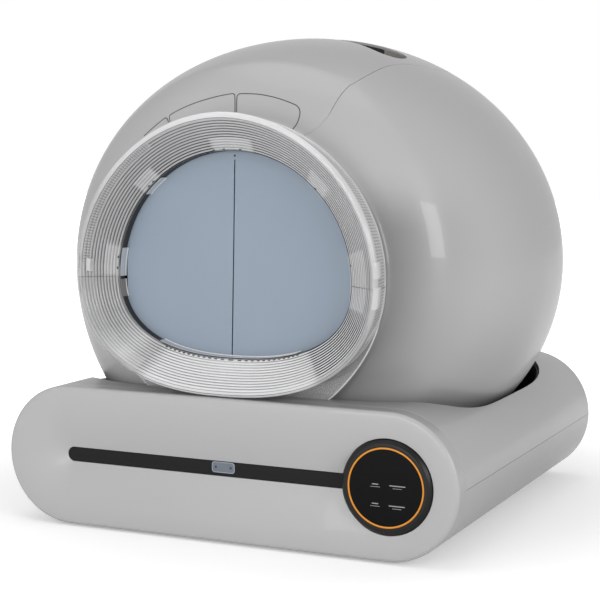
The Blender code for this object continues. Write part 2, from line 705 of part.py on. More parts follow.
def build_base():
    """The two base shells, the tray that lines the well, the feet and the runners."""
    outer_low = stadium_solid(
        "base_lower_shell", 0, SHELL_FRONT_Y, BASE_REAR_Y, BASE_REAR_FILLET, "shell_grey"
    )
    outer_high = stadium_solid(
        "base_upper_shell", 0, SHELL_FRONT_Y, BASE_REAR_Y, BASE_REAR_FILLET, "shell_grey"
    )
    hollow = stadium_solid(
        "base_hollow", WALL, SHELL_FRONT_Y - OVERRUN, BASE_REAR_Y - WALL, BASE_REAR_FILLET - WALL, None
    )
    reach = (BASE_WIDTH / 2 + OVERRUN, BASE_REAR_Y + OVERRUN)
    above = box(
        "above_parting", (-reach[0], -reach[1], BASE_MIDDLE_Z - GAP / 2),
        (reach[0], reach[1], DECK_Z + OVERRUN), None,
    )
    below = box(
        "below_parting", (-reach[0], -reach[1], -OVERRUN),
        (reach[0], reach[1], BASE_MIDDLE_Z + GAP / 2), None,
    )
    well = outline_prism("well_cut", [well_outline(0)], BASE_MIDDLE_Z, DECK_Z + OVERRUN, None)
    boolean(outer_high, hollow)
    boolean(outer_high, below)
    boolean(outer_high, well)
    boolean(outer_low, hollow)
    boolean(outer_low, above)
    post_top = TRAY_FLOOR_Z - GAP
    for side in (-1, 1):
        for along in (TRAY_POST_FRONT_Y, TRAY_POST_REAR_Y):
            post = turned(
                "tray_post", [(0, FOOT_HEIGHT + WALL / 2), (TRAY_POST_RADIUS, FOOT_HEIGHT + WALL / 2),
                              (TRAY_POST_RADIUS, post_top), (0, post_top)],
                None, (side * TRAY_POST_X, along, 0), ROUND_STEPS // 2, "Z",
            )
            boolean(outer_low, post, "UNION")
    saddle_half = POD_RADIUS / 2
    saddle_front = SHELL_FRONT_Y + WALL
    saddle = box(
        "pod_saddle", (BASE_END_X - saddle_half, saddle_front, FOOT_HEIGHT + WALL / 2),
        (BASE_END_X + saddle_half, BASE_FRONT_Y + POD_LENGTH - WALL, BASE_MIDDLE_Z - POD_RADIUS / 2), None,
    )
    boolean(outer_low, saddle, "UNION")
    pod_space = turned(
        "pod_space", [(0, SHELL_FRONT_Y - OVERRUN), (POD_RADIUS + GAP, SHELL_FRONT_Y - OVERRUN),
                      (POD_RADIUS + GAP, BASE_FRONT_Y + POD_LENGTH + OVERRUN),
                      (0, BASE_FRONT_Y + POD_LENGTH + OVERRUN)],
        None, (BASE_END_X, 0, BASE_MIDDLE_Z), POD_STEPS,
    )
    boolean(outer_low, pod_space)
    inlet_cut = turned(
        "inlet_cut", [(0, BASE_REAR_Y - WALL - OVERRUN), (INLET_RADIUS + GAP, BASE_REAR_Y - WALL - OVERRUN),
                      (INLET_RADIUS + GAP, BASE_REAR_Y + OVERRUN), (0, BASE_REAR_Y + OVERRUN)],
        None, (INLET_X, 0, INLET_Z), ROUND_STEPS // 2,
    )
    boolean(outer_low, inlet_cut)
    build_tray()
    build_feet()
    build_runners()


def build_tray():
    """The dark tray that lines the well, with the chute and the ears of the drum rollers."""
    tray = outline_prism("drum_tray", [well_outline(GAP)], TRAY_FLOOR_Z, DECK_Z + OVERRUN, "dark_plastic")
    inner = outline_prism("tray_hollow", [well_outline(GAP + TRAY_WALL)], TRAY_TOP_Z, DECK_Z + 2 * OVERRUN, None)
    trim = stadium_solid(
        "tray_trim", TRAY_DROP, BASE_FRONT_Y, BASE_REAR_Y - BASE_REAR_FILLET, BASE_REAR_FILLET, None
    )
    chute = outline_prism(
        "chute_cut", [rounded_rectangle(CHUTE_WIDTH / 2, CHUTE_WIDTH / 2, CHUTE_CORNER)],
        TRAY_FLOOR_Z - OVERRUN, TRAY_TOP_Z + OVERRUN, None,
    )
    boolean(tray, inner)
    boolean(tray, trim, "INTERSECT")
    boolean(tray, chute)
    inside = ROLLER_WIDTH / 2 + ROLLER_SIDE_GAP
    foot = TRAY_TOP_Z - TRAY_FLOOR / 2
    for side in (-1, 1):
        outline = [
            (side * ROLLER_X + EAR_HEAD * math.cos(angle), ROLLER_Z + EAR_HEAD * math.sin(angle))
            for angle in [math.pi * index / HEAD_STEPS for index in range(HEAD_STEPS + 1)]
        ]
        outline += [(side * ROLLER_X - EAR_WIDTH / 2, foot), (side * ROLLER_X + EAR_WIDTH / 2, foot)]
        bore = circle(ROLLER_PIN_RADIUS + GAP, side * ROLLER_X, ROLLER_Z, ROUND_STEPS // 2)
        for end in (-1, 1):
            near = DRUM_TRACK_Y + end * inside
            far = near + end * EAR_THICKNESS
            ear = outline_prism("roller_ear", [outline, bore], min(near, far), max(near, far), None, True)
            boolean(tray, ear, "UNION")


def build_feet():
    """Four rubber feet under the base."""
    top = FOOT_HEIGHT - GAP
    for end, along in (("front", -FOOT_SPREAD_Y), ("rear", FOOT_SPREAD_Y)):
        for side, across in (("left", -FOOT_SPREAD_X), ("right", FOOT_SPREAD_X)):
            turned(
                f"foot_{end}_{side}",
                [(0, 0), (FOOT_RADIUS - top / 2, 0), (FOOT_RADIUS, top / 2), (FOOT_RADIUS, top), (0, top)],
                "rubber_black", (across, along, 0), ROUND_STEPS // 2, "Z",
            )


def build_runners():
    """The two runners that carry and guide the drawer."""
    floor = FLOOR_Z + GAP
    rear = PANEL_BACK_Y + BIN_LENGTH
    bin_side = BIN_WIDTH / 2 - BIN_DRAFT
    guide_in = BIN_WIDTH / 2 + GAP
    for side, name in ((-1, "drawer_runner_left"), (1, "drawer_runner_right")):
        outline = [
            (side * (bin_side - RUNNER_WIDTH), floor),
            (side * (guide_in + WALL), floor),
            (side * (guide_in + WALL), floor + RUNNER_GUIDE_HEIGHT),
            (side * guide_in, floor + RUNNER_GUIDE_HEIGHT),
            (side * guide_in, RUNNER_TOP_Z),
            (side * (bin_side - RUNNER_WIDTH), RUNNER_TOP_Z),
        ]
        outline_prism(name, [outline], SHELL_FRONT_Y + WALL, rear, "nylon_white", True)


def build_drawer():
    """The dished drawer front with its strip, the waste bin and the bag ring."""
    drawer_axis = axis_empty("drawer_slide_axis", (0, BASE_FRONT_Y, BASE_MIDDLE_Z))
    rings = [at_y(stadium(BASE_RADIUS), PANEL_BACK_Y)]
    for index in range(FILLET_STEPS + 1):
        angle = math.pi / 2 * index / FILLET_STEPS
        radius = BASE_RADIUS - PANEL_FILLET * (1 - math.cos(angle))
        rings.append(at_y(stadium(radius), BASE_FRONT_Y + PANEL_FILLET * (1 - math.sin(angle))))
    rim = BASE_RADIUS - PANEL_FILLET
    slot = STRIP_RADIUS + STRIP_SLOT_CLEARANCE
    slot_y = BASE_FRONT_Y
    for index in range(1, DISH_STEPS + 1):
        radius = rim + (slot - rim) * index / DISH_STEPS
        slot_y = BASE_FRONT_Y + DISH_DEPTH * (1 - radius / rim) ** DISH_EXPONENT
        end_x = BASE_END_X + (STRIP_END_X - BASE_END_X) * index / DISH_STEPS
        rings.append(at_y(stadium(radius, end_x=end_x), slot_y))
    strip_back = slot_y + STRIP_THICKNESS + GAP
    rings.append(at_y(stadium(slot, end_x=STRIP_END_X), strip_back + GAP))
    front = loft("drawer_front", rings, "shell_grey")
    pocket = loft(
        "front_pocket",
        [at_y(stadium(BASE_RADIUS - POCKET_RIM), PANEL_BACK_Y - POCKET_DEPTH),
         at_y(stadium(BASE_RADIUS - POCKET_RIM), PANEL_BACK_Y + OVERRUN)], None,
    )
    boolean(front, pocket)
    pod_hole = turned(
        "pod_hole", [(0, BASE_FRONT_Y - OVERRUN), (POD_RADIUS + POD_HOLE_CLEARANCE, BASE_FRONT_Y - OVERRUN),
                     (POD_RADIUS + POD_HOLE_CLEARANCE, PANEL_BACK_Y + OVERRUN), (0, PANEL_BACK_Y + OVERRUN)],
        None, (BASE_END_X, 0, BASE_MIDDLE_Z), POD_STEPS,
    )
    boolean(front, pod_hole)
    strip = outline_prism(
        "drawer_strip", [stadium(STRIP_RADIUS, end_x=STRIP_END_X)], strip_back - STRIP_THICKNESS, strip_back,
        "strip_black", True,
    )
    boolean(strip, pod_hole)
    build_tab(strip_back - STRIP_THICKNESS - GAP)
    waste_bin = build_bin()
    bag_ring = build_bag_ring()
    for piece in (front, strip, waste_bin, bag_ring):
        attach(piece, drawer_axis)


def build_tab(back_y):
    """The pull tab that hangs over the strip from its upper edge."""
    top = BASE_MIDDLE_Z + STRIP_RADIUS - GAP
    tab_axis = axis_empty("pull_tab_axis", (0, back_y - TAB_THICKNESS / 2, top))
    half = TAB_WIDTH / 2
    outline = [(half, top), (-half, top)]
    for side, start in ((-1, math.pi), (1, 1.5 * math.pi)):
        for index in range(TAB_CORNER_STEPS + 1):
            angle = start + math.pi / 2 * index / TAB_CORNER_STEPS
            outline.append(
                (side * (half - TAB_CORNER) + TAB_CORNER * math.cos(angle),
                 top - TAB_HEIGHT + TAB_CORNER + TAB_CORNER * math.sin(angle))
            )
    tab = outline_prism(
        "drawer_pull_tab", [outline], back_y - TAB_THICKNESS, back_y, "tab_blue", True
    )
    attach(tab, tab_axis)


def build_bin():
    """The open waste bin, with drafted walls and round corners."""
    half_length = BIN_LENGTH / 2
    centre = PANEL_BACK_Y + GAP + half_length
    low = rounded_rectangle(BIN_WIDTH / 2 - BIN_DRAFT, half_length, BIN_CORNER, centre)
    high = rounded_rectangle(BIN_WIDTH / 2, half_length, BIN_CORNER, centre)
    made = loft(
        "waste_bin",
        [[(x, y, BIN_BOTTOM_Z) for x, y in low], [(x, y, BIN_TOP_Z) for x, y in high]], "bin_grey",
    )
    low_in = rounded_rectangle(
        BIN_WIDTH / 2 - BIN_DRAFT - BIN_WALL, half_length - BIN_WALL, BIN_CORNER - BIN_WALL, centre
    )
    high_in = rounded_rectangle(
        BIN_WIDTH / 2 - BIN_WALL, half_length - BIN_WALL, BIN_CORNER - BIN_WALL, centre
    )
    hollow = loft(
        "bin_hollow",
        [[(x, y, BIN_BOTTOM_Z + BIN_WALL) for x, y in low_in],
         [(x, y, BIN_TOP_Z) for x, y in high_in],
         [(x, y, BIN_TOP_Z + OVERRUN) for x, y in high_in]], None,
    )
    boolean(made, hollow)
    return made


def build_bag_ring():
    """The ring on the bin's rim that holds a bag."""
    half_length = BIN_LENGTH / 2
    centre = PANEL_BACK_Y + GAP + half_length
    low = BIN_TOP_Z + GAP
    return outline_prism(
        "bag_ring",
        [rounded_rectangle(BIN_WIDTH / 2, half_length, BIN_CORNER, centre),
         rounded_rectangle(
             BIN_WIDTH / 2 - BAG_RING_WIDTH, half_length - BAG_RING_WIDTH, BIN_CORNER - BAG_RING_WIDTH / 2,
             centre)],
        low, low + BAG_RING_HEIGHT, "bin_grey",
    )


def build_pod():
    """The round control pod: cup, glass, light ring and board."""
    at = (BASE_END_X, 0, BASE_MIDDLE_Z)
    face = BASE_FRONT_Y - POD_PROUD
    back = BASE_FRONT_Y + POD_LENGTH
    ring_in = PANEL_GLASS_RADIUS + GAP
    ring_out = ring_in + LIGHT_RING_WIDTH
    seat_in = ring_out + GAP
    seat = face + LIGHT_RING_DEPTH + GAP
    ledge = seat + WALL
    inner = POD_RADIUS - POD_WALL
    bore = ring_in - POD_WALL
    turned(
        "control_pod_body",
        [(bore, seat), (seat_in, seat), (seat_in, face), (POD_RADIUS - POD_CHAMFER, face),
         (POD_RADIUS, face + POD_CHAMFER), (POD_RADIUS, back), (inner, back), (inner, ledge),
         (bore, ledge)],
        "gloss_black", at, POD_STEPS,
    )
    turned(
        "touch_glass", [(0, face), (PANEL_GLASS_RADIUS, face), (PANEL_GLASS_RADIUS, seat - GAP),
                        (0, seat - GAP)],
        "gloss_black", at, POD_STEPS,
    )
    turned(
        "light_ring", [(ring_in, face), (ring_out, face), (ring_out, seat - GAP), (ring_in, seat - GAP)],
        "orange", at, POD_STEPS,
    )
    board_front = ledge + GAP
    turned(
        "control_board", [(0, board_front), (inner - GAP, board_front),
                          (inner - GAP, board_front + BOARD_THICKNESS), (0, board_front + BOARD_THICKNESS)],
        "board_green", at, POD_STEPS,
    )


def build_inlet():
    """The power inlet in the base's rear wall: a cup with a centre pin."""
    face = BASE_REAR_Y + POD_PROUD
    flange_back = BASE_REAR_Y + GAP
    depth = flange_back - INLET_DEPTH
    floor = depth + WALL
    turned(
        "power_inlet",
        [(0, depth), (INLET_RADIUS, depth), (INLET_RADIUS, flange_back),
         (INLET_RADIUS + INLET_FLANGE, flange_back), (INLET_RADIUS + INLET_FLANGE, face),
         (INLET_RADIUS - WALL, face), (INLET_RADIUS - WALL, floor), (INLET_PIN_RADIUS, floor),
         (INLET_PIN_RADIUS, face - WALL / 2), (0, face - WALL / 2)],
        "dark_plastic", (INLET_X, 0, INLET_Z), ROUND_STEPS // 2,
    )


def build_globe():
    """The housing, its lid with the hand recess, and the rear cover with its boss."""
    housing = loft("globe_housing", globe_rings(0), "shell_grey")
    lid = loft("top_lid", globe_rings(0), "shell_grey")
    hollow = loft("globe_hollow", globe_rings(WALL), None)
    reach = GLOBE_HALF_WIDTH + OVERRUN
    below = box("below_globe", (-reach, -reach, -OVERRUN), (reach, reach, TRAY_TOP_Z + GAP), None)
    lid_top = GLOBE_CENTRE_Z + GLOBE_TOP_RISE + OVERRUN
    lid_gap = outline_prism("lid_gap", [grown(lid_outline(), LID_SEAM)], LID_LOW_Z, lid_top, None)
    lid_plug = outline_prism("lid_plug", [lid_outline()], LID_LOW_Z, lid_top, None)
    boolean(housing, hollow)
    boolean(housing, below)
    boolean(housing, lid_gap)
    boolean(lid, hollow)
    boolean(lid, lid_plug, "INTERSECT")
    slot = outline_prism("recess_slot", [recess_outline()], RECESS_FLOOR_Z, lid_top, None)
    boolean(lid, slot)
    recess = outline_prism(
        "hand_recess", [grown(recess_outline(), RECESS_WALL)], RECESS_FLOOR_Z - RECESS_WALL, lid_top,
        "recess_beige",
    )
    boolean(recess, slot)
    under_lid = loft("under_lid", globe_rings(WALL + GAP), None)
    boolean(recess, under_lid, "INTERSECT")
    build_rear_cover()


def build_rear_cover():
    """The flat rear cover with the boss and spindle for the back of the drum."""
    oval = globe_section(GLOBE_REAR_Y, REAR_COVER_INSET)
    back = COVER_FRONT_Y + REAR_COVER_THICKNESS
    cover = outline_prism("rear_cover", [oval], COVER_FRONT_Y, back, "shell_grey", True)
    boss_front = COVER_FRONT_Y - SPINDLE_BOSS_LENGTH
    boss = turned(
        "spindle_boss",
        [(0, boss_front), (SPINDLE_BOSS_RADIUS, boss_front), (SPINDLE_BOSS_RADIUS, back - WALL / 2),
         (0, back - WALL / 2)],
        None, (0, 0, DRUM_AXIS_Z),
    )
    boolean(cover, boss, "UNION")
    socket = turned(
        "spindle_socket",
        [(0, boss_front - OVERRUN), (SPINDLE_RADIUS + GAP, boss_front - OVERRUN),
         (SPINDLE_RADIUS + GAP, COVER_FRONT_Y), (0, COVER_FRONT_Y)],
        None, (0, 0, DRUM_AXIS_Z),
    )
    boolean(cover, socket)
    turned(
        "drum_spindle",
        [(0, SPINDLE_FRONT_Y), (SPINDLE_RADIUS - WALL / 3, SPINDLE_FRONT_Y),
         (SPINDLE_RADIUS, SPINDLE_FRONT_Y + WALL / 3), (SPINDLE_RADIUS, COVER_FRONT_Y - GAP),
         (0, COVER_FRONT_Y - GAP)],
        "steel", (0, 0, DRUM_AXIS_Z),
    )


def ring_section():
    """The entrance ring's wall section as (depth in from the lip, y): skin, roll, ribs and back."""
    section = [(RING_BACK_INSET, RING_BACK_Y)]
    for index in range(LIP_ROLL_STEPS + 1):
        angle = math.pi - math.radians(LIP_ROLL_ANGLE) * index / LIP_ROLL_STEPS
        section.append(
            (RING_LIP_RADIUS + RING_LIP_RADIUS * math.cos(angle), RING_LIP_Y - RING_LIP_RADIUS * math.sin(angle))
        )
    start_depth, start_y = section[-1]
    step_depth = (RING_WIDTH - start_depth) / RING_RIBS
    step_y = (RING_MOUTH_Y - start_y) / RING_RIBS
    for index in range(RING_RIBS):
        tread = start_depth + step_depth * (index + RIB_TREAD_SHARE)
        section.append((tread, start_y + step_y * index))
        section.append((start_depth + step_depth * (index + 1), start_y + step_y * (index + 1)))
    section.append((RING_WIDTH - GASKET_OUT, RING_MOUTH_Y))
    section.append((2 * RING_LIP_RADIUS, RING_LIP_Y + RING_SKIN))
    section.append((RING_LIP_RADIUS, RING_LIP_Y - RING_LIP_RADIUS + RING_SKIN))
    section.append((RING_SKIN, RING_LIP_Y))
    section.append((RING_BACK_INSET + RING_SKIN, RING_BACK_Y))
    return section


def build_ring():
    """The clear entrance ring in an upper and a lower half, with the clips over the joint."""
    rings = [at_y(ring_outline(depth), along) for depth, along in ring_section()]
    upper = loft("entrance_ring_upper", rings, "clear", True)
    lower = loft("entrance_ring_lower", rings, "clear", True)
    reach = LIP_OUTLINE[0] + OVERRUN
    front = RING_LIP_Y - 2 * OVERRUN
    back = NECK_FRONT_Y + OVERRUN
    low_side = box(
        "ring_low_side", (-reach, front, 0), (reach, back, RING_SPLIT_Z + RING_SPLIT_GAP / 2), None
    )
    high_side = box(
        "ring_high_side", (-reach, front, RING_SPLIT_Z - RING_SPLIT_GAP / 2), (reach, back, LIP_OUTLINE[2] + OVERRUN), None
    )
    foot_low = DECK_Z + GAP
    side = []
    for index in range(RING_FOOT_STEPS + 1):
        rise = index / RING_FOOT_STEPS
        spread = 1 - (1 - rise) ** RING_FOOT_BEND
        side.append(
            (RING_FOOT_HALF_WIDTH + (RING_FOOT_TOP_HALF_WIDTH - RING_FOOT_HALF_WIDTH) * spread,
             foot_low + (RING_FOOT_TOP_Z - foot_low) * rise)
        )
    foot = outline_prism(
        "ring_foot", [side + [(-across, up) for across, up in reversed(side)]],
        RING_BACK_Y - RING_SKIN, RING_BACK_Y - GAP / 2, None, True,
    )
    foot_hole = outline_prism(
        "ring_foot_hole", [ring_outline(RING_BACK_INSET + RING_SKIN / 2)],
        RING_BACK_Y - RING_SKIN - OVERRUN, RING_BACK_Y + OVERRUN, None, True,
    )
    boolean(foot, foot_hole)
    boolean(lower, foot, "UNION")
    boolean(upper, low_side)
    boolean(lower, high_side)
    build_clips()


def build_clips():
    """Two clips that hug the ring's outer wall across its joint."""
    front = RING_LIP_Y + CLIP_MARGIN
    back = RING_BACK_Y - CLIP_MARGIN
    wall_slope = RING_BACK_INSET / (RING_BACK_Y - RING_LIP_Y)
    front_depth = (front - RING_LIP_Y) * wall_slope - GAP
    back_depth = (back - RING_LIP_Y) * wall_slope - GAP
    section = [
        (front_depth, front), (back_depth, back),
        (back_depth - CLIP_THICKNESS, back), (front_depth - CLIP_THICKNESS, front),
    ]
    rings = [at_y(ring_outline(depth), along) for depth, along in section]
    for side, name in ((-1, "ring_clip_left"), (1, "ring_clip_right")):
        clip = loft(name, rings, "clear", True)
        inner = side * MOUTH_OUTLINE[0]
        outer = side * (LIP_OUTLINE[0] + OVERRUN)
        keep = box(
            name + "_keep",
            (min(inner, outer), front - OVERRUN, RING_SPLIT_Z - CLIP_HEIGHT / 2),
            (max(inner, outer), back + OVERRUN, RING_SPLIT_Z + CLIP_HEIGHT / 2), None,
        )
        boolean(clip, keep, "INTERSECT")


def curtain_edge(across, upper):
    """The curtain's free edge height at a place across it."""
    half_width, wide_z, top_z, bottom_z, low_exponent = MOUTH_OUTLINE
    share = abs(across) / half_width
    if upper:
        return wide_z + (top_z - wide_z) * math.sqrt(1 - share * share) - CURTAIN_TOP_DROP
    drop = (1 - share ** low_exponent) ** (1 / low_exponent)
    return wide_z - (wide_z - bottom_z) * drop + CURTAIN_BOTTOM_LIFT


def flap_outline(side, inner_top, inner_bottom, outer):
    """One half of the curtain from its free edge to its hinge, as a list of (x, z)."""
    steps = CURTAIN_STEPS // 2
    top = [inner_top + (outer - inner_top) * index / steps for index in range(steps + 1)]
    bottom = [outer + (inner_bottom - outer) * index / steps for index in range(steps + 1)]
    upper = [(side * across, curtain_edge(across, True)) for across in top]
    return upper + [(side * across, curtain_edge(across, False)) for across in bottom]


def build_curtain():
    """The gasket, the curtain's fixed margin and its two flaps, and the bulkhead behind them."""
    low_depth = RING_WIDTH - GASKET_OUT
    high_depth = RING_WIDTH + GASKET_IN
    section = [
        (high_depth, GASKET_FRONT_Y), (high_depth, GASKET_BACK_Y),
        (low_depth, GASKET_BACK_Y), (low_depth, GASKET_FRONT_Y),
    ]
    loft(
        "curtain_gasket", [at_y(ring_outline(depth), along) for depth, along in section],
        "rubber_black", True,
    )
    front = CURTAIN_Y - CURTAIN_THICKNESS / 2
    back = CURTAIN_Y + CURTAIN_THICKNESS / 2
    margin = outline_prism(
        "curtain_margin", [ring_outline(RING_WIDTH - CURTAIN_MARGIN)], front, back, "curtain_blue", True
    )
    clear = CURTAIN_HINGE_X + CURTAIN_HINGE_GAP
    window_top = flap_outline(1, 0, 0, clear)[: CURTAIN_STEPS // 2 + 1]
    window = [(across, up + CURTAIN_HINGE_GAP) for across, up in window_top]
    bottom_z = MOUTH_OUTLINE[3] - CURTAIN_MARGIN - OVERRUN
    window += [(clear, bottom_z), (-clear, bottom_z)]
    window += [(-across, up + CURTAIN_HINGE_GAP) for across, up in reversed(window_top[1:])]
    window_cut = outline_prism("curtain_window", [window], front - OVERRUN, back + OVERRUN, None, True)
    boolean(margin, window_cut)
    for side, name in ((-1, "left"), (1, "right")):
        axis = axis_empty(f"curtain_{name}_axis", (side * CURTAIN_HINGE_X, CURTAIN_Y, MOUTH_OUTLINE[1]))
        flap = outline_prism(
            f"curtain_{name}",
            [flap_outline(
                side, side * SLIT_TOP_X + SLIT_HALF_WIDTH, side * SLIT_BOTTOM_X + SLIT_HALF_WIDTH,
                CURTAIN_HINGE_X)],
            front, back, "curtain_blue", True,
        )
        attach(flap, axis)
    outline_prism(
        "front_bulkhead",
        [ring_outline(RING_BACK_INSET + WALL + GAP, AROUND_STEPS), ring_outline(RING_WIDTH - BULKHEAD_MARGIN)],
        BULKHEAD_Y - BULKHEAD_THICKNESS / 2, BULKHEAD_Y + BULKHEAD_THICKNESS / 2, "shell_grey", True,
    )


def drum_front_profile():
    """Outer line of the drum's front half, from its port to the joint, as (radius, y)."""
    track_front = DRUM_TRACK_Y - DRUM_TRACK_WIDTH / 2
    track_back = DRUM_TRACK_Y + DRUM_TRACK_WIDTH / 2
    line = [(DRUM_PORT_RADIUS, DRUM_FRONT_Y), (DRUM_FRONT_RADIUS, DRUM_FRONT_Y)]
    rise = DRUM_TRACK_RADIUS - DRUM_FRONT_RADIUS
    for index in range(1, DRUM_FRONT_STEPS):
        angle = math.pi / 2 * index / DRUM_FRONT_STEPS
        line.append(
            (DRUM_FRONT_RADIUS + rise * math.sin(angle),
             DRUM_FRONT_Y + (track_front - DRUM_FRONT_Y) * (1 - math.cos(angle)))
        )
    line += [(DRUM_TRACK_RADIUS, track_front), (DRUM_TRACK_RADIUS, track_back)]
    line += [(DRUM_RADIUS, -DRUM_FLAT_HALF), (DRUM_RADIUS, -GAP / 2)]
    return line


def drum_rear_profile():
    """Outer line of the drum's rear half, from the joint to its rear wall, as (radius, y)."""
    seat_front = DRUM_SEAT_Y - DRUM_SEAT_WIDTH / 2
    seat_back = DRUM_SEAT_Y + DRUM_SEAT_WIDTH / 2
    line = [(DRUM_RADIUS, GAP / 2), (DRUM_RADIUS, DRUM_FLAT_HALF)]
    fall = DRUM_RADIUS - DRUM_SEAT_RADIUS
    for index in range(1, DRUM_REAR_STEPS):
        angle = math.pi / 2 * index / DRUM_REAR_STEPS
        line.append(
            (DRUM_SEAT_RADIUS + fall * math.cos(angle),
             DRUM_FLAT_HALF + (seat_front - DRUM_FLAT_HALF) * math.sin(angle))
        )
    line += [(DRUM_SEAT_RADIUS, seat_front), (DRUM_SEAT_RADIUS, seat_back)]
    line += [((DRUM_SEAT_RADIUS + DRUM_REAR_RADIUS) / 2, (seat_back + 2 * DRUM_REAR_Y) / 3)]
    line += [(DRUM_REAR_RADIUS, DRUM_REAR_Y)]
    return line


def dump_cutter():
    """A block that opens the dump port through the drum's wall."""
    far = DRUM_RADIUS + OVERRUN
    near = DRUM_PORT_RADIUS
    start = math.radians(DUMP_ANGLE_START)
    end = math.radians(DUMP_ANGLE_END)
    outline = [(near * math.cos(start), near * math.sin(start)), (far * math.cos(start), far * math.sin(start))]
    middle = (start + end) / 2
    outline.append((far * math.cos(middle), far * math.sin(middle)))
    outline += [(far * math.cos(end), far * math.sin(end)), (near * math.cos(end), near * math.sin(end))]
    points = [(across, DRUM_AXIS_Z + up) for across, up in outline]
    return outline_prism("dump_cut", [points], -DUMP_HALF_LENGTH, DUMP_HALF_LENGTH, None, True)


def build_drum():
    """The drum's two shells, port trim, sieve, ring gear and hub bush."""
    axis = axis_empty("drum_axis", (0, 0, DRUM_AXIS_Z))
    at = (0, 0, DRUM_AXIS_Z)
    front_line = drum_front_profile()
    front_inner = [(radius - WALL, along) for radius, along in reversed(front_line[2:])]
    front_inner += [(DRUM_PORT_RADIUS, DRUM_FRONT_Y + WALL)]
    front = turned("drum_front_shell", front_line + front_inner, "drum_grey", at, DRUM_STEPS)
    rear_line = drum_rear_profile()
    hub_bore = SPINDLE_RADIUS + 2 * GAP + BUSH_WALL
    hub_back = DRUM_REAR_Y + DRUM_HUB_LENGTH
    rear_outer = rear_line + [
        (DRUM_HUB_RADIUS, DRUM_REAR_Y), (DRUM_HUB_RADIUS, hub_back), (hub_bore, hub_back),
        (hub_bore, DRUM_REAR_Y - WALL),
    ]
    rear_inner = [(DRUM_REAR_RADIUS - WALL, DRUM_REAR_Y - WALL)]
    rear_inner += [(radius - WALL, along) for radius, along in reversed(rear_line[:-1])]
    rear = turned("drum_rear_shell", rear_outer + rear_inner, "drum_grey", at, DRUM_STEPS)
    dump = dump_cutter()
    boolean(front, dump)
    boolean(rear, dump)
    bush = turned(
        "hub_bush",
        [(SPINDLE_RADIUS + GAP, DRUM_REAR_Y - WALL), (SPINDLE_RADIUS + GAP + BUSH_WALL, DRUM_REAR_Y - WALL),
         (SPINDLE_RADIUS + GAP + BUSH_WALL, hub_back), (SPINDLE_RADIUS + GAP, hub_back)],
        "nylon_white", at,
    )
    trim_back = DRUM_FRONT_Y - GAP
    trim = turned(
        "drum_port_trim",
        [(DRUM_PORT_RADIUS, trim_back - PORT_TRIM_THICKNESS), (PORT_TRIM_RADIUS, trim_back - PORT_TRIM_THICKNESS),
         (PORT_TRIM_RADIUS, trim_back), (DRUM_PORT_RADIUS, trim_back)],
        "rubber_black", at, DRUM_STEPS,
    )
    for piece in (front, rear, bush, trim, build_sieve(), build_ring_gear()):
        attach(piece, axis)


def build_sieve():
    """The flat sieve between two places on the drum's wall, with its grid of holes."""
    start = math.radians(SIEVE_START_ANGLE)
    end = math.radians(SIEVE_END_ANGLE)
    half_span = (end - start) / 2
    middle = (start + end) / 2
    half_width = SIEVE_EDGE_RADIUS * math.sin(half_span)
    reach = SIEVE_EDGE_RADIUS * math.cos(half_span)
    outlines = [[(half_width, SIEVE_HALF_LENGTH), (-half_width, SIEVE_HALF_LENGTH),
                 (-half_width, -SIEVE_HALF_LENGTH), (half_width, -SIEVE_HALF_LENGTH)]]
    pitch_x = 2 * (half_width - SIEVE_RIM) / SIEVE_COLUMNS
    pitch_y = 2 * (SIEVE_HALF_LENGTH - SIEVE_RIM) / SIEVE_ROWS
    for column in range(SIEVE_COLUMNS):
        left = -half_width + SIEVE_RIM + pitch_x * column + SIEVE_BAR / 2
        right = left + pitch_x - SIEVE_BAR
        for row in range(SIEVE_ROWS):
            low = -SIEVE_HALF_LENGTH + SIEVE_RIM + pitch_y * row + SIEVE_BAR / 2
            high = low + pitch_y - SIEVE_BAR
            outlines.append([(left, low), (right, low), (right, high), (left, high)])
    sieve = outline_prism("litter_sieve", outlines, -SIEVE_THICKNESS, 0, "drum_grey")
    tilt = Matrix.Rotation(math.pi / 2 - middle, 4, "Y")
    shift = Matrix.Translation(Vector((0, 0, DRUM_AXIS_Z)))
    out = Matrix.Translation(Vector((0, 0, reach)))
    sieve.matrix_world = shift @ tilt @ out @ sieve.matrix_world
    return sieve


def gear_outline(teeth, pitch_radius, phase, fine):
    """A gear's outline about the origin, with a tooth centred on the phase angle."""
    pressure = math.radians(PRESSURE_ANGLE)
    base_radius = pitch_radius * math.cos(pressure)
    root = pitch_radius - GEAR_DEDENDUM
    tip = pitch_radius + GEAR_ADDENDUM
    half_pitch = math.pi / 2 / teeth - GEAR_BACKLASH / 2 / pitch_radius

    def half_angle(radius):
        if radius <= base_radius:
            return half_pitch + math.tan(pressure) - pressure
        lean = math.acos(base_radius / radius)
        return half_pitch + (math.tan(pressure) - pressure) - (math.tan(lean) - lean)

    radii = [root, pitch_radius, tip] if fine else [root, tip]
    points = []
    for tooth in range(teeth):
        centre = phase + 2 * math.pi * tooth / teeth
        for radius in radii:
            points.append((radius, centre - half_angle(radius)))
        for radius in reversed(radii):
            points.append((radius, centre + half_angle(radius)))
    return [(radius * math.cos(angle), radius * math.sin(angle)) for radius, angle in points]


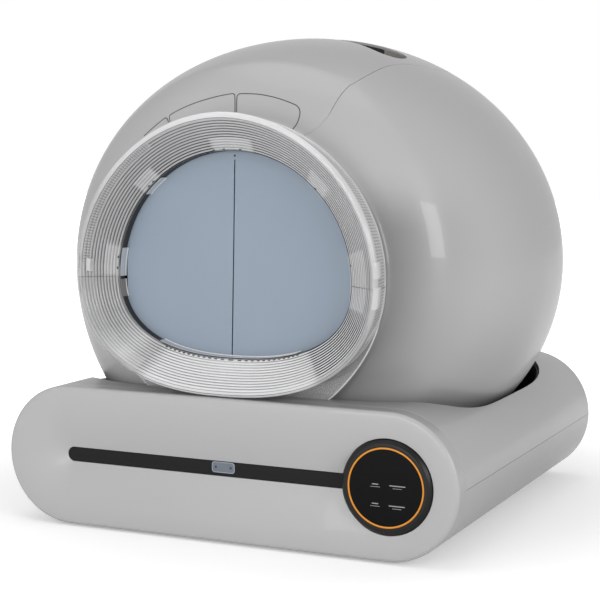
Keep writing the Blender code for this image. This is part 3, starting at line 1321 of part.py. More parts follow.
def build_ring_gear():
    """The ring gear on the drum's seat, in mesh with the pinion."""
    phase = math.radians(PINION_ANGLE)
    teeth = gear_outline(RING_TEETH, RING_PITCH_RADIUS, phase, False)
    bore = DRUM_SEAT_RADIUS + GAP
    hole = [(bore * math.cos(angle), bore * math.sin(angle)) for angle in angles(DRUM_STEPS)]
    outlines = [[(across, DRUM_AXIS_Z + up) for across, up in points] for points in (teeth, hole)]
    return outline_prism(
        "drum_ring_gear", outlines, DRUM_SEAT_Y - GEAR_WIDTH / 2, DRUM_SEAT_Y + GEAR_WIDTH / 2,
        "nylon_white", True,
    )


def build_drive():
    """The pinion and shaft, and the gear motor on its bracket."""
    axis = axis_empty("pinion_axis", (PINION_X, DRUM_SEAT_Y, PINION_Z))
    phase = math.radians(PINION_ANGLE) + math.pi + math.pi / PINION_TEETH
    teeth = gear_outline(PINION_TEETH, PINION_PITCH_RADIUS, phase, True)
    bore_radius = SHAFT_RADIUS + GAP
    hole = [(bore_radius * math.cos(angle), bore_radius * math.sin(angle)) for angle in angles(ROUND_STEPS)]
    outlines = [[(PINION_X + across, PINION_Z + up) for across, up in points] for points in (teeth, hole)]
    pinion = outline_prism(
        "drive_pinion", outlines, DRUM_SEAT_Y - PINION_WIDTH / 2, DRUM_SEAT_Y + PINION_WIDTH / 2,
        "nylon_white", True,
    )
    plate_back = DRUM_SEAT_Y - PINION_WIDTH / 2 - GAP
    plate_front = plate_back - BRACKET_THICKNESS
    at = (PINION_X, 0, PINION_Z)
    shaft_front = plate_front
    shaft_back = DRUM_SEAT_Y + PINION_WIDTH / 2 + WALL
    shaft = turned(
        "pinion_shaft",
        [(0, shaft_front), (SHAFT_RADIUS, shaft_front), (SHAFT_RADIUS, shaft_back), (0, shaft_back)],
        "steel", at, ROUND_STEPS // 2,
    )
    attach(pinion, axis)
    attach(shaft, axis)
    build_bracket(plate_front, plate_back)
    motor_back = plate_front - GAP
    turned(
        "gear_motor",
        [(0, motor_back - MOTOR_LENGTH), (MOTOR_STEP_RADIUS, motor_back - MOTOR_LENGTH),
         (MOTOR_STEP_RADIUS, motor_back - MOTOR_LENGTH + WALL), (MOTOR_RADIUS, motor_back - MOTOR_LENGTH + WALL),
         (MOTOR_RADIUS, motor_back), (0, motor_back)],
        "steel", at, ROUND_STEPS // 2,
    )


def build_bracket(front, back):
    """The upright bracket that holds the motor over the tray."""
    foot_z = TRAY_TOP_Z + GAP
    outline = []
    for index in range(HEAD_STEPS + 1):
        angle = math.pi * index / HEAD_STEPS
        outline.append((PINION_X + BRACKET_RADIUS * math.cos(angle), PINION_Z + BRACKET_RADIUS * math.sin(angle)))
    outline += [(PINION_X - BRACKET_RADIUS, foot_z), (PINION_X + BRACKET_RADIUS / 3, foot_z)]
    outline += [(PINION_X + BRACKET_RADIUS, PINION_Z - BRACKET_RADIUS / 2)]
    bracket = outline_prism("motor_bracket", [outline], front, back, "steel", True)
    foot = box(
        "bracket_foot",
        (PINION_X - BRACKET_RADIUS, front - BRACKET_FOOT_LENGTH, foot_z),
        (PINION_X + BRACKET_RADIUS / 3, front + BRACKET_THICKNESS / 2, foot_z + BRACKET_THICKNESS), None,
    )
    boolean(bracket, foot, "UNION")
    bore = turned(
        "shaft_bore",
        [(0, front - OVERRUN), (SHAFT_RADIUS + GAP, front - OVERRUN), (SHAFT_RADIUS + GAP, back + OVERRUN),
         (0, back + OVERRUN)],
        None, (PINION_X, 0, PINION_Z), ROUND_STEPS // 2,
    )
    boolean(bracket, bore)


def build_rollers():
    """The two rollers under the drum's track, and their pins."""
    half = ROLLER_WIDTH / 2
    pin_half = half + ROLLER_SIDE_GAP + EAR_THICKNESS
    for side, name in ((-1, "left"), (1, "right")):
        at = (side * ROLLER_X, DRUM_TRACK_Y, ROLLER_Z)
        axis = axis_empty(f"roller_{name}_axis", at)
        bore = ROLLER_PIN_RADIUS + GAP
        roller = turned(
            f"drum_roller_{name}",
            [(bore, -half), (ROLLER_RADIUS, -half), (ROLLER_RADIUS, half), (bore, half)],
            "rubber_black", at, ROUND_STEPS,
        )
        attach(roller, axis)
        turned(
            f"roller_pin_{name}",
            [(0, -pin_half), (ROLLER_PIN_RADIUS, -pin_half), (ROLLER_PIN_RADIUS, pin_half), (0, pin_half)],
            "steel", at, ROUND_STEPS // 2,
        )


def main():
    """Build every piece."""
    clear_scene()
    make_collection(COLLECTION_NAME)
    make_collection(CUTTER_COLLECTION_NAME)
    build_base()
    build_drawer()
    build_pod()
    build_inlet()
    build_globe()
    build_ring()
    build_curtain()
    build_drum()
    build_drive()
    build_rollers()
    bpy.context.view_layer.update()


main()
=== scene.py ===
"""Self cleaning litter box: the finished surfaces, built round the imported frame."""

import math
from math import cos, pi, radians, sin, sqrt

import bmesh
import bpy
from bpy.props import FloatProperty, FloatVectorProperty, IntProperty, PointerProperty
from mathutils import Matrix, Vector


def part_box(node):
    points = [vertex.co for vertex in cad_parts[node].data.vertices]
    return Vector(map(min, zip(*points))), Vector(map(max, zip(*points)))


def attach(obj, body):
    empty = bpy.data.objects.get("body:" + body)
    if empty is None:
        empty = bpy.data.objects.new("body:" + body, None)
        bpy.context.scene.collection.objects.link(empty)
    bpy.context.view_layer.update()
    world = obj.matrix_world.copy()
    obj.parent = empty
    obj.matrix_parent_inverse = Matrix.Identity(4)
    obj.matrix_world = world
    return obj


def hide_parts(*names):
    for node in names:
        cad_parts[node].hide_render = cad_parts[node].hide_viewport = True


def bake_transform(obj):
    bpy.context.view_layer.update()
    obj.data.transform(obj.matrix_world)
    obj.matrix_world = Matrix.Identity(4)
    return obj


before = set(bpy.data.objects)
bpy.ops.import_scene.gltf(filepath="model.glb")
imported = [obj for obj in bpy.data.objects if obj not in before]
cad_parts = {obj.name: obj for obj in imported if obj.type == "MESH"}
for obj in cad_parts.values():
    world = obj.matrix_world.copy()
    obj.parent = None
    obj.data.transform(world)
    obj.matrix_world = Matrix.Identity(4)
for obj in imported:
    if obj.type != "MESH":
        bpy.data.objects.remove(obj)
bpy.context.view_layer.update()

bl_info = {
    "name": "Self cleaning litter box",
    "version": (1, 0, 0),
    "blender": (4, 5, 0),
    "location": "3D view > Sidebar > Litter box",
    "description": "Builds the finished surfaces of a litter box with a turning drum",
    "category": "Object",
}

# What a piece is cut with: a tool taken away, the part inside a tool kept, a tool added
CUT, TRIM, JOIN = "DIFFERENCE", "INTERSECT", "UNION"
SHARP_ANGLE = 35.0
CLEAR_SHARP = 50.0
SAME_PLACE = 0.000005
# Clearance between pieces that meet
FIT = 0.0003

# Base
BASE_FRONT_Y = -0.2825
BASE_REAR_Y = 0.2825
REAR_FILLET = 0.006
PANEL_FILLET = 0.005
EDGE_ROUND = 0.0008
DISH_STEPS = 30
DISH_EXPONENT = 1.8
STRIP_END_INSET = 0.003
STRIP_SETBACK = 0.0023
ARC_STEPS = 40
# Pull tab: insets from its outline and places behind its face, of its front, its rim and its round spots
TAB_CORNER = 0.004
TAB_EDGE = 0.0002
TAB_FRONT = ((0.0, 0.0003), (0.0003, 0), (0.0013, 0), (0.0015, 0.0002))
TAB_RIM = ((0.0013, 0.0003), (0.0013, -0.00005), (0.0002, -0.00005), (0.0002, 0.0003))
TAB_SPOT = ((0, 0.0004), (0.0016, 0.0004), (0.0016, 0.0001), (0.0013, 0), (0, 0))
TAB_SPOT_INSET = 0.0055

# Control pod; each key mark has its place from the pod's middle and its bars: drop, length and height
POD_GAP = 0.0007
POD_SEAT = 0.0033
POD_CHAMFER = 0.0045
POD_STEPS = 160
POD_WALL = 0.003
POD_ROUNDS = (0, 0, 0.0002, 0.0016, 0.0018, 0.0005, 0.0005, 0, 0)
POD_HOLE_FRONT_Y = -0.32
POD_HOLE_REAR_Y = -0.2
GLASS_SETBACK = 0.0002
GLASS_BEVEL = (0.0004, 0.0003)
LIGHT_SETBACK = 0.0001
LIGHT_ROUND = 0.0005
MARK_PROUD = 0.00008
MARK_DEPTH = 0.0001
MARK_CORNER_SHARE = 0.45
SHORT_KEY = ((0.0, 0.0080, 0.0011), (-0.0030, 0.0115, 0.0005))
LONG_KEY = ((0.0, 0.0195, 0.0011), (-0.0030, 0.0110, 0.0005))
KEY_MARKS = ((-0.0125, 0.0038, SHORT_KEY), (0.0144, 0.0034, LONG_KEY), (-0.0125, -0.0186, SHORT_KEY),
             (0.0140, -0.0198, LONG_KEY))

# Well and tray
WELL_HALF_WIDTH = 0.2685
WELL_FRONT_Y = -0.2325
WELL_REAR_Y = 0.2625
WELL_FRONT_EXPONENT = 4.5
WELL_REAR_EXPONENT = 4.0
WELL_STEPS = 200
TRAY_FLOOR_Z = 0.108
TRAY_FLOOR = 0.005
TRAY_WALL = 0.0026
TRAY_DROP = 0.004
CHUTE_HALF = 0.085
CHUTE_CORNER = 0.020
# Ears that hold the rollers
EAR_RADIUS = 0.008
EAR_FOOT = 0.009
EAR_THICKNESS = 0.004
EAR_GAP = 0.0005

# Globe
GLOBE_TOP_RISE = 0.2930
GLOBE_BOTTOM_DROP = 0.288
GLOBE_CENTRE_Z = 0.3182
FRONT_DEPTHS = (0.322, 0.385, 0.46805)
REAR_DEPTH = 0.290
REAR_EXPONENT = 2.5
SHOULDER_Y = -0.185
GLOBE_REAR_Y = 0.250
NECK_FRONT_Y = -0.2365
NECK_LENGTH = 0.004
NECK_TURN = 0.010
COVER_FRONT_Y = 0.2503
COVER_DEPTH = 0.004
# Insets and drops of the rear cover's raised rim, and radius and height of its screws
COVER_RIM = ((0.0006, 0.0012), (0.0010, 0.0004), (0.0018, 0), (0.016, 0), (0.0168, 0.0004), (0.0176, 0.0012))
SCREWS = 8
SCREW_INSET = 0.0090
SCREW_HEAD = ((0, -0.001), (0.0034, -0.001), (0.0034, 0.0006), (0.0027, 0.0014), (0.0012, 0.0016),
              (0.0010, 0.0006), (0, 0.0006))
# Radius and place from the rear cover's front, of the spindle's boss and of the bore in it
SPINDLE_BOSS = ((0, -0.022), (0.019, -0.022), (0.020, -0.021), (0.020, 0.001), (0, 0.001))
SPINDLE_BORE = ((0, -0.05), (0.0103, -0.05), (0.0103, 0), (0, 0))
AROUND_STEPS = 176
BLEND_STEPS = 16
GLOBE_STEPS = 40
# The rings stand closer together towards the rear, as on an arc of this many degrees
REAR_TURN = 70

# Shade beside the ring: its oval, and where each of its edges starts and ends
SHADE_HALF_WIDTH = 0.198
SHADE_HALF_HEIGHT = 0.168
SHADE_MIDDLE_Z = 0.335
SHADE_REACH = (1.02, 1.48)
SHADE_X = (0.04, 0.14)
SHADE_TOP_Z = (0.37, 0.45)
SHADE_LOW_Z = (0.20, 0.34)

# Lid and hand recess
LID_HALF_WIDTH = 0.170
LID_FRONT_Y = -0.262
LID_REAR_Y = 0.120
LID_LOW_Z = 0.400
LEFT_SEAM = 0.00004
LID_SIDE_SHARES = (
    (0.50, 0.00), (0.505, 0.075), (0.54, 0.093), (0.61, 0.109), (0.66, 0.128), (0.702, 0.168),
    (0.742, 0.225), (0.775, 0.30), (0.799, 0.385), (0.826, 0.468), (0.87, 0.55), (0.93, 0.64),
    (0.965, 0.73), (0.95, 0.82), (0.853, 0.915), (0.647, 0.970), (0.353, 0.995), (0.00, 1.000),
)
RECESS_HALF_WIDTH = 0.135
RECESS_MIDDLE_Y = -0.025
RECESS_FRONT_Y = -0.058
RECESS_REAR_Y = 0.008
RECESS_FLOOR_Z = 0.5735
RECESS_WALL = 0.002
# Painted shade in the middle of the hand recess: where it starts across, and its colour
RECESS_SHADE_X = 0.092
RECESS_PAINTED_SHADE = (0.006, 0.006, 0.006, 1.0)
RECESS_SIDE_SHARES = (
    (0.0, 0.0), (0.25, 0.10), (0.50, 0.40), (0.70, 0.80), (0.80, 0.97), (0.88, 1.0), (0.95, 0.86),
    (0.99, 0.60), (1.0, 0.20), (0.97, -0.30), (0.86, -0.75), (0.66, -0.95), (0.40, -1.0), (0.0, -1.0),
)

# Entrance ring: half width, height of the widest point, top, bottom, exponent of the lower curve
LIP_OUTLINE = (0.1983, 0.3230, 0.5132, 0.1775, 2.38, 1.93)
MOUTH_OUTLINE = (0.1555, 0.3152, 0.4682, 0.2197, 2.4, 2.0)
RING_WIDTH = 0.045
RING_LIP_Y = -0.2745
RING_MOUTH_Y = -0.2495
RING_BACK_Y = -0.2368
RING_LIP_RADIUS = 0.0040
LIP_TURN = 158
RING_BACK_INSET = 0.0065
RING_SKIN = 0.0026
RING_SPLIT_Z = 0.3132
RING_TOOL_FRONT_Y = -0.3
RING_TOOL_REAR_Y = -0.2
FOOT_HALF_WIDTH = 0.122
FOOT_TOP_HALF_WIDTH = 0.190
FOOT_TOP_Z = 0.312
FOOT_BEND = 2.2
FOOT_STEPS = 24
FOOT_SETBACK = 0.0002
FOOT_GAP = 0.0005
RING_STEPS = 240
# The mouth's edge has this share of lip, which marks it for its painted dark lines
MOUTH_EDGE = 0.6
# The ring's edge at the housing: further in, further back, and share of lip
RING_FLANGE = ((0, 0, 1.0), (-0.0014, -0.0004, 1.0), (-0.0020, -0.0018, 1.0), (-0.0008, -0.0030, 0.5))
# Rows of knurls on the ring's outer wall: how many, where the first lies, their pitch, and the faint ones
KNURL_ROWS = 8
KNURL_START_SHARE = 0.08
KNURL_PITCH_SHARE = 0.085
FAINT_ROWS = (3, 6)
# The ring's edge at the mouth: further in, further back, groove and share of lip
MOUTH_LIP = ((0, -0.0004, 0.0, MOUTH_EDGE), (0.0004, 0.0010, 0.0, MOUTH_EDGE), (0, 0.003, 0.2, MOUTH_EDGE),
             (-0.0022, 0.003, 0.0, 0.0))
LIP_STEPS = 16
# Steps of the lip that carry a painted dark line, and the step from which it belongs less to the lip
LIP_LINES = (1, 8, 14)
LIP_END = 14
# Share of each rib, rise of its rounding, and how much it is a groove
RIB_SHAPE = ((0.05, 0.4, 0.5), (0.14, 0.9, 0.0), (0.32, 1.1, 0.0), (0.50, 1.0, 0.02), (0.62, 0.6, 0.1),
             (0.70, -0.4, 0.9), (0.78, -1.2, 1.0), (0.93, -1.2, 1.0))
KNURL_TEETH = 330
GROOVE_PAINTED_SHADE = (0.018, 0.018, 0.019, 1.0)
BEAD_RADIUS = 0.0011
BEAD_SETBACK = 0.0012
BEAD_HALF_DEPTH = 0.0009
CLIP_STEPS = 10
CLIP_EDGE = 0.0002
CLIP_SWELL = 0.0014
CLIP_TURNS = (-82, -55, -25, 5)
# Small tab beside the left clip: middle and half in degrees, then its depths and its places behind the lip
CLIP_TAB = (177.3, 2.6, 0.0125, 0.0180)
CLIP_TAB_REACH = (-0.0008, 0.0080)
GASKET_BACK_Y = -0.2368
LUG_HALF = 0.55
# Smooth windows in the ribs: middle and half of each in degrees, and where along the ribs it starts
WINDOWS = ((88.5, 9.5, 0.58), (133.5, 5.5, 0.55), (174, 7.5, 0.58), (44.5, 5.5, 0.5), (0, 13, 0.25))
# Clear tabs inside the mouth: middle and half of each in degrees
MOUTH_TABS = ((133.5, 5.5), (174, 6.5), (44.5, 5.5), (2, 11), (267, 33))
GREY_INSERT = (187.5, 5.5)
LUG_ANGLES = (8, 45, 85, 93, 98, 132, 135, 172, 177)
LUG_ROW = (240, 300, 24)
# Painted highlight streaks across the ribs: degrees, width and strength
HIGHLIGHT_STREAKS = ((272, 0.9, 0.16), (226, 4, 0.12))
# Where the ring's painted shade lines change, in degrees: fainter ribs, lines at the mouth's edge, broad
# grooves, knurls
FAINT_RIBS = (176, 236)
EDGE_LINES = ((13, 40), (292, 347))
BROAD_GROOVES = (307, 346)
KNURLED_RIBS = (122, 176)
# Painted light on the ribs: their greatest lightness, the painted light added in the smooth windows, and how
# far their lines fade there
BRIGHTEST = 0.95
WINDOW_PAINTED_LIGHT = 0.12
WINDOW_FADE = 0.72
# The painted shade lines fade towards the mouth round the ring's lowest place: its angle and the reach on
# each side
LOW_PLACE = 270
LOW_REACH = 34
# Lengths of the clips in degrees
CLIPS = {"left": ((174.0, 180.0), (182.5, 189.0)), "right": ((-9.7, -1.6), (0.9, 6.9))}
# Painted light and shade round the ring: degrees, lightness of the ribs, depth of their painted dark lines,
# and the same two of the lip
RING_PAINTED_LIGHT = (
    (0, 0.55, 0.60, 0.62, 0.0), (30, 0.60, 0.60, 0.74, 0.0), (60, 0.62, 0.75, 0.88, 0.0),
    (90, 0.60, 1.00, 0.93, 0.0), (130, 0.50, 1.00, 0.80, 0.0), (160, 0.46, 0.90, 0.54, 0.0),
    (180, 0.48, 0.90, 0.48, 0.0), (205, 0.50, 0.80, 0.42, 0.6), (222, 0.66, 0.65, 0.44, 0.9),
    (236, 0.66, 0.85, 0.50, 1.0), (244, 0.95, 0.85, 0.80, 1.0), (302, 0.95, 0.85, 0.80, 1.0),
    (309, 0.86, 1.20, 0.50, 1.0), (338, 0.80, 1.20, 0.44, 0.7), (348, 0.56, 0.60, 0.55, 0.2),
    (360, 0.55, 0.60, 0.62, 0.0),
)

# Outlines of the three blank panels over the ring, as pixels of the camera's view
PANEL_LINES = (
    ((144, 136), (155, 126), (163.4, 119.2), (165.6, 118.0), (167.2, 118.8), (168.6, 122.4)),
    ((170.0, 121.5), (169.4, 117.6), (171.7, 113.9), (185.5, 106.8), (198.8, 101.7), (216, 96.7),
     (231.0, 93.8), (233.8, 94.2), (234.9, 96.6), (235.0, 112.0)),
    ((236.6, 112.0), (236.9, 98.2), (238, 95), (240.9, 93.7), (252.4, 93.8), (263.8, 95), (279.1, 98.6),
     (292.5, 103.6), (297.6, 106.5), (299.9, 111.2), (299.2, 117.4), (296.7, 124), (292.5, 129.5)),
)
PANEL_LINE_WIDTH = 0.0013
# The lines' section: share of half their width, and height over the shell
PANEL_LINE_SECTION = ((-1, -0.0003), (1, -0.0003), (1, 0.0001), (0.5, 0.0002), (-0.5, 0.0002), (-1, 0.0001))
VIEW_PIXELS = 600

# Curtain
CURTAIN_FRONT_Y = -0.2361
SLIT_TOP_X = -0.0014
SLIT_BOTTOM_X = -0.0062
CURTAIN_TOP_DROP = 0.0113
CURTAIN_BOTTOM_GAP = 0.0004
CURTAIN_HALF_WIDTH = 0.1515
CURTAIN_COLUMNS = 44
CURTAIN_ROWS = 30
CURTAIN_WAVE = 0.00025
HANGER_STEPS = 60
HANGER_DROP = 0.0015
THREAD_PITCH = 0.0011
# Round relief at the slit's top, a dark disc of painted shade where the hole shows the dark inside: radius
# and place behind the curtain's front
SLIT_RELIEF = ((0, 0.0003), (0.0014, 0.0003), (0.0014, -0.00005), (0, -0.00005))
RELIEF_RISE = 0.0048

# Stage: each lamp's place, aim and size
SENSOR_WIDTH = 36.0
FLOOR_REACH = 9.0
VIEW_REACH = 60.0
LAMPS = (
    ("key", (-1.9, -1.9, 2.0), (0, -0.05, 0.35), 2.0),
    ("side", (2.6, -1.35, 1.05), (0.2, -0.1, 0.30), 1.1),
    ("front", (-0.15, -2.1, 0.5), (0, 0, 0.25), 1.0),
    ("top", (-0.2, -0.1, 2.6), (0, 0, 0.3), 2.0),
)


def a_length(label, description, value):
    """A length among the settings."""
    return FloatProperty(name=label, description=description, default=value, unit="LENGTH")


def a_number(label, description, value):
    """A plain number among the settings."""
    return FloatProperty(name=label, description=description, default=value)


def a_tint(label, description, value):
    """A colour among the settings."""
    return FloatVectorProperty(name=label, description=description, default=value, subtype="COLOR")


class BaseSettings(bpy.types.PropertyGroup):
    """Sizes and colours of the base and the drawer front."""

    width: a_length("Width", "Width of the base", 0.600)
    height: a_length("Height", "Height of the base", 0.1735)
    foot_height: a_length("Foot height", "Height of the feet", 0.003)
    wall: a_length("Wall", "Wall of the shells", 0.003)
    panel_depth: a_length("Front depth", "Depth of the drawer front", 0.024)
    dish_depth: a_length("Dish depth", "How far the front dishes in", 0.014)
    strip_height: a_length("Strip height", "Height of the dark strip", 0.0178)
    seam: a_length("Seam", "Gap at the seams of the shells", 0.0004)
    shell_colour: a_tint("Shell colour", "Grey of the shells", (0.397, 0.397, 0.399))
    strip_colour: a_tint("Strip colour", "Colour of the strip", (0.017, 0.017, 0.018))
    # The tray's near-black is partly its dark plastic and partly painted shade of the narrow gap down into
    # the well
    tray_colour: a_tint("Tray colour", "Colour of the tray", (0.016, 0.016, 0.017))


class GlobeSettings(bpy.types.PropertyGroup):
    """Sizes of the round housing and its lid."""

    half_width: a_length("Half width", "Half the width of the housing", 0.3165)
    wall: a_length("Wall", "Wall of the housing", 0.003)
    lid_seam: a_length("Lid seam", "Gap round the lid", 0.0009)


class RingSettings(bpy.types.PropertyGroup):
    """Sizes and colours of the entrance ring."""

    ribs: IntProperty(name="Ribs", description="Number of ribs across the ring", default=12, min=4, max=24)
    rib_round: a_length("Rib round", "Height of each rib's rounding", 0.0006)
    rubber_colour: a_tint("Rubber colour", "Colour of the gasket", (0.012, 0.012, 0.013))


class CurtainSettings(bpy.types.PropertyGroup):
    """Sizes and colour of the slit curtain."""

    thickness: a_length("Thickness", "Thickness of the sheet", 0.0009)
    slit: a_length("Slit", "Width of the slit", 0.0015)
    colour: a_tint("Colour", "Blue grey of the sheet", (0.238, 0.289, 0.355))


class PodSettings(bpy.types.PropertyGroup):
    """Sizes and colours of the round control pod."""

    radius: a_length("Radius", "Radius of the pod", 0.0555)
    glass_radius: a_length("Glass radius", "Radius of the touch glass", 0.0441)
    light_width: a_length("Light width", "Width of the light ring", 0.0021)
    proud: a_length("Proud", "How far the pod stands out", 0.003)
    length: a_length("Length", "Length of the pod behind the front", 0.047)
    black: a_tint("Black", "Colour of the pod", (0.005, 0.005, 0.0055))
    orange: a_tint("Orange", "Colour of the light ring", (0.62, 0.222, 0.003))


class StageSettings(bpy.types.PropertyGroup):
    """Camera and lights."""

    azimuth: a_number("Azimuth", "Angle round the object", 24.96)
    elevation: a_number("Elevation", "Angle above the horizon", 6.073)
    lens: a_number("Lens", "Focal length in millimetres", 94.06)
    place: FloatVectorProperty(
        name="Place", description="Place of the camera", default=(0.85868, -1.90010, 0.48814), subtype="XYZ")
    world_light: a_number("World light", "Strength of the even light", 0.46)
    key: a_number("Key light", "Power of the main lamp", 8.0)
    side: a_number("Side light", "Power of the lamp on the right", 29.0)
    front: a_number("Front light", "Power of the lamp in front", 12.6)
    top: a_number("Top light", "Power of the lamp overhead", 12.0)


SETTINGS = {
    "litter_base": BaseSettings,
    "litter_globe": GlobeSettings,
    "litter_ring": RingSettings,
    "litter_curtain": CurtainSettings,
    "litter_pod": PodSettings,
    "litter_stage": StageSettings,
}


# Shapes as lists of points


def angles(steps):
    """Evenly spaced angles of one turn."""
    return [2 * pi * index / steps for index in range(steps)]


def signed_power(value, exponent):
    """A power that keeps the sign."""
    return math.copysign(abs(value) ** exponent, value)


def egg_point(outline, angle):
    """A point of an egg-shaped outline, as (x, z)."""
    half_width, wide_z, top_z, bottom_z, low_exponent, high_exponent = outline
    rise = sin(angle)
    exponent = high_exponent if rise >= 0 else low_exponent
    height = top_z - wide_z if rise >= 0 else wide_z - bottom_z
    power = 2 / exponent
    return half_width * signed_power(cos(angle), power), wide_z + height * signed_power(rise, power)


def ring_point(angle, depth):
    """A point of the ring's family of outlines, depth in from the lip towards the mouth."""
    share = depth / RING_WIDTH
    lip = egg_point(LIP_OUTLINE, angle)
    mouth = egg_point(MOUTH_OUTLINE, angle)
    return lip[0] + (mouth[0] - lip[0]) * share, lip[1] + (mouth[1] - lip[1]) * share


def ring_outline(depth, steps=RING_STEPS):
    """An outline of the ring's family, as a list of (x, z)."""
    return [ring_point(angle, depth) for angle in angles(steps)]


def stadium(radius, centre_z, end_x):
    """A stadium seen from the front, as a list of (x, z)."""
    turns = [(side, start + pi * index / ARC_STEPS) for side, start in ((1, -pi / 2), (-1, pi / 2))
             for index in range(ARC_STEPS + 1)]
    return [(side * end_x + radius * cos(turn), centre_z + radius * sin(turn)) for side, turn in turns]


def rounded_rectangle(half_x, half_y, corner, centre=(0.0, 0.0), steps=6):
    """A rectangle with round corners, as a list of two places."""
    points = []
    for quarter, (side_x, side_y) in enumerate(((1, 1), (-1, 1), (-1, -1), (1, -1))):
        for index in range(steps + 1):
            angle = pi / 2 * (quarter + index / steps)
            points.append((centre[0] + side_x * (half_x - corner) + corner * cos(angle),
                           centre[1] + side_y * (half_y - corner) + corner * sin(angle)))
    return points


def at_y(points, along):
    """Points of (x, z) stood up at one y."""
    return [(across, along, up) for across, up in points]


def well_outline(inset):
    """The well's outline seen from above, drawn in by an inset."""
    centre = (WELL_FRONT_Y + WELL_REAR_Y) / 2
    half_length = (WELL_REAR_Y - WELL_FRONT_Y) / 2 - inset
    points = []
    for angle in angles(WELL_STEPS):
        along = sin(angle)
        power = 2 / (WELL_REAR_EXPONENT if along >= 0 else WELL_FRONT_EXPONENT)
        points.append(((WELL_HALF_WIDTH - inset) * signed_power(cos(angle), power),
                       centre + half_length * signed_power(along, power)))
    return points


def globe_section(along, inset, half_width):
    """The housing's section at a place along its depth, as a list of (x, z)."""
    depths, exponent = (FRONT_DEPTHS, 2.0) if along <= 0 else ((REAR_DEPTH,) * 3, REAR_EXPONENT)
    side, top, bottom = [(1 - abs(along / (depth - inset)) ** exponent) ** (1 / exponent) for depth in depths]
    points = []
    for angle in angles(AROUND_STEPS):
        rise = sin(angle)
        high = (GLOBE_TOP_RISE - inset) * top if rise >= 0 else (GLOBE_BOTTOM_DROP - inset) * bottom
        points.append(((half_width - inset) * side * cos(angle), GLOBE_CENTRE_Z + high * rise))
    return points


def globe_rings(inset, half_width):
    """Rings of the housing's form from its neck to its flat rear, drawn in by an inset."""
    neck = ring_outline(RING_BACK_INSET + inset, AROUND_STEPS)
    neck_back_y = NECK_FRONT_Y + NECK_LENGTH + inset
    shoulder = globe_section(SHOULDER_Y, inset, half_width)
    depth = FRONT_DEPTHS[0] - inset
    spread = max(across for across, up in shoulder) - max(across for across, up in neck)
    lean = -SHOULDER_Y / depth / sqrt(1 - (SHOULDER_Y / depth) ** 2)
    reach = SHOULDER_Y - neck_back_y
    turn_share = 1 - (reach - NECK_TURN) * (half_width - inset) / depth * lean / spread
    rings = [at_y(neck, NECK_FRONT_Y), at_y(neck, neck_back_y)]
    for index in range(1, BLEND_STEPS):
        u = index / BLEND_STEPS
        share = 3 * u * u * (1 - u) * turn_share + u ** 3
        along = neck_back_y + 3 * u * (1 - u) * NECK_TURN + u ** 3 * reach
        rings.append(at_y([(n[0] + (s[0] - n[0]) * share, n[1] + (s[1] - n[1]) * share)
                           for n, s in zip(neck, shoulder)], along))
    end = radians(REAR_TURN)
    start = math.asin(SHOULDER_Y / GLOBE_REAR_Y * sin(end))
    for index in range(GLOBE_STEPS + 1):
        along = GLOBE_REAR_Y * sin(start + (end - start) * index / GLOBE_STEPS) / sin(end)
        rings.append(at_y(globe_section(along, inset, half_width), along))
    return rings


def smooth_line(points, parts):
    """Points on a smooth curve through the given ones."""
    fine = []
    for index in range(len(points) - 1):
        near = (max(index - 1, 0), index, index + 1, min(index + 2, len(points) - 1))
        before, start, end, after = [Vector(points[place]) for place in near]
        for part in range(parts):
            t = part / parts
            spot = 0.5 * (2 * start + (end - before) * t + (2 * before - 5 * start + 4 * end - after) * t ** 2
                          + (3 * start - before - 3 * end + after) * t ** 3)
            fine.append(tuple(spot))
    return fine + [tuple(points[-1])]


def mirrored(right):
    """A closed outline from the points of its right side, from front to back."""
    return right + [(-across, along) for across, along in reversed(right) if across > 0.0001]


def lid_outline():
    """The lid's outline seen from above."""
    return mirrored(smooth_line([(across * LID_HALF_WIDTH, LID_FRONT_Y + (LID_REAR_Y - LID_FRONT_Y) * along)
                                 for across, along in LID_SIDE_SHARES], 5))


def recess_outline():
    """The hand recess seen from above: a slot whose front edge bows back in the middle."""
    right = []
    for across, along in RECESS_SIDE_SHARES:
        reach = RECESS_FRONT_Y - RECESS_MIDDLE_Y if along >= 0 else RECESS_MIDDLE_Y - RECESS_REAR_Y
        right.append((across * RECESS_HALF_WIDTH, RECESS_MIDDLE_Y + reach * along))
    return mirrored(smooth_line(right, 5))


def grown(points, margin, left_margin=None):
    """An outline moved out from its centre by about a margin, which may differ on the left."""
    centre = Vector((0, sum(along for across, along in points) / len(points)))
    moved = []
    for across, along in points:
        spoke = Vector((across, along)) - centre
        reach = left_margin if left_margin and across < 0 else margin
        moved.append(tuple(centre + spoke + spoke.normalized() * reach))
    return moved


def rounded_profile(points, radii, steps=4):
    """A closed profile whose corners are rounded by the radii given for them."""
    rounded = []
    count = len(points)
    for index, (spot, radius) in enumerate(zip(points, radii)):
        here = Vector(spot)
        if not radius:
            rounded.append(tuple(here))
            continue
        back = (Vector(points[index - 1]) - here).normalized()
        ahead = (Vector(points[(index + 1) % count]) - here).normalized()
        for part in range(steps + 1):
            t = part / steps
            rounded.append(tuple(here + back * radius * (1 - t) ** 2 + ahead * radius * t ** 2))
    return rounded


# Meshes made with mesh operators


def circle_of(bm, points, filled=False):
    """A closed loop of vertices through the points."""
    made = bmesh.ops.create_circle(bm, cap_ends=filled, segments=len(points), radius=1.0)["verts"]
    for vert, point in zip(made, points):
        vert.co = point
    return made


def edges_round(bm, loop):
    """The edges of a closed loop of vertices."""
    return [bm.edges.get((loop[index - 1], loop[index])) for index in range(len(loop))]


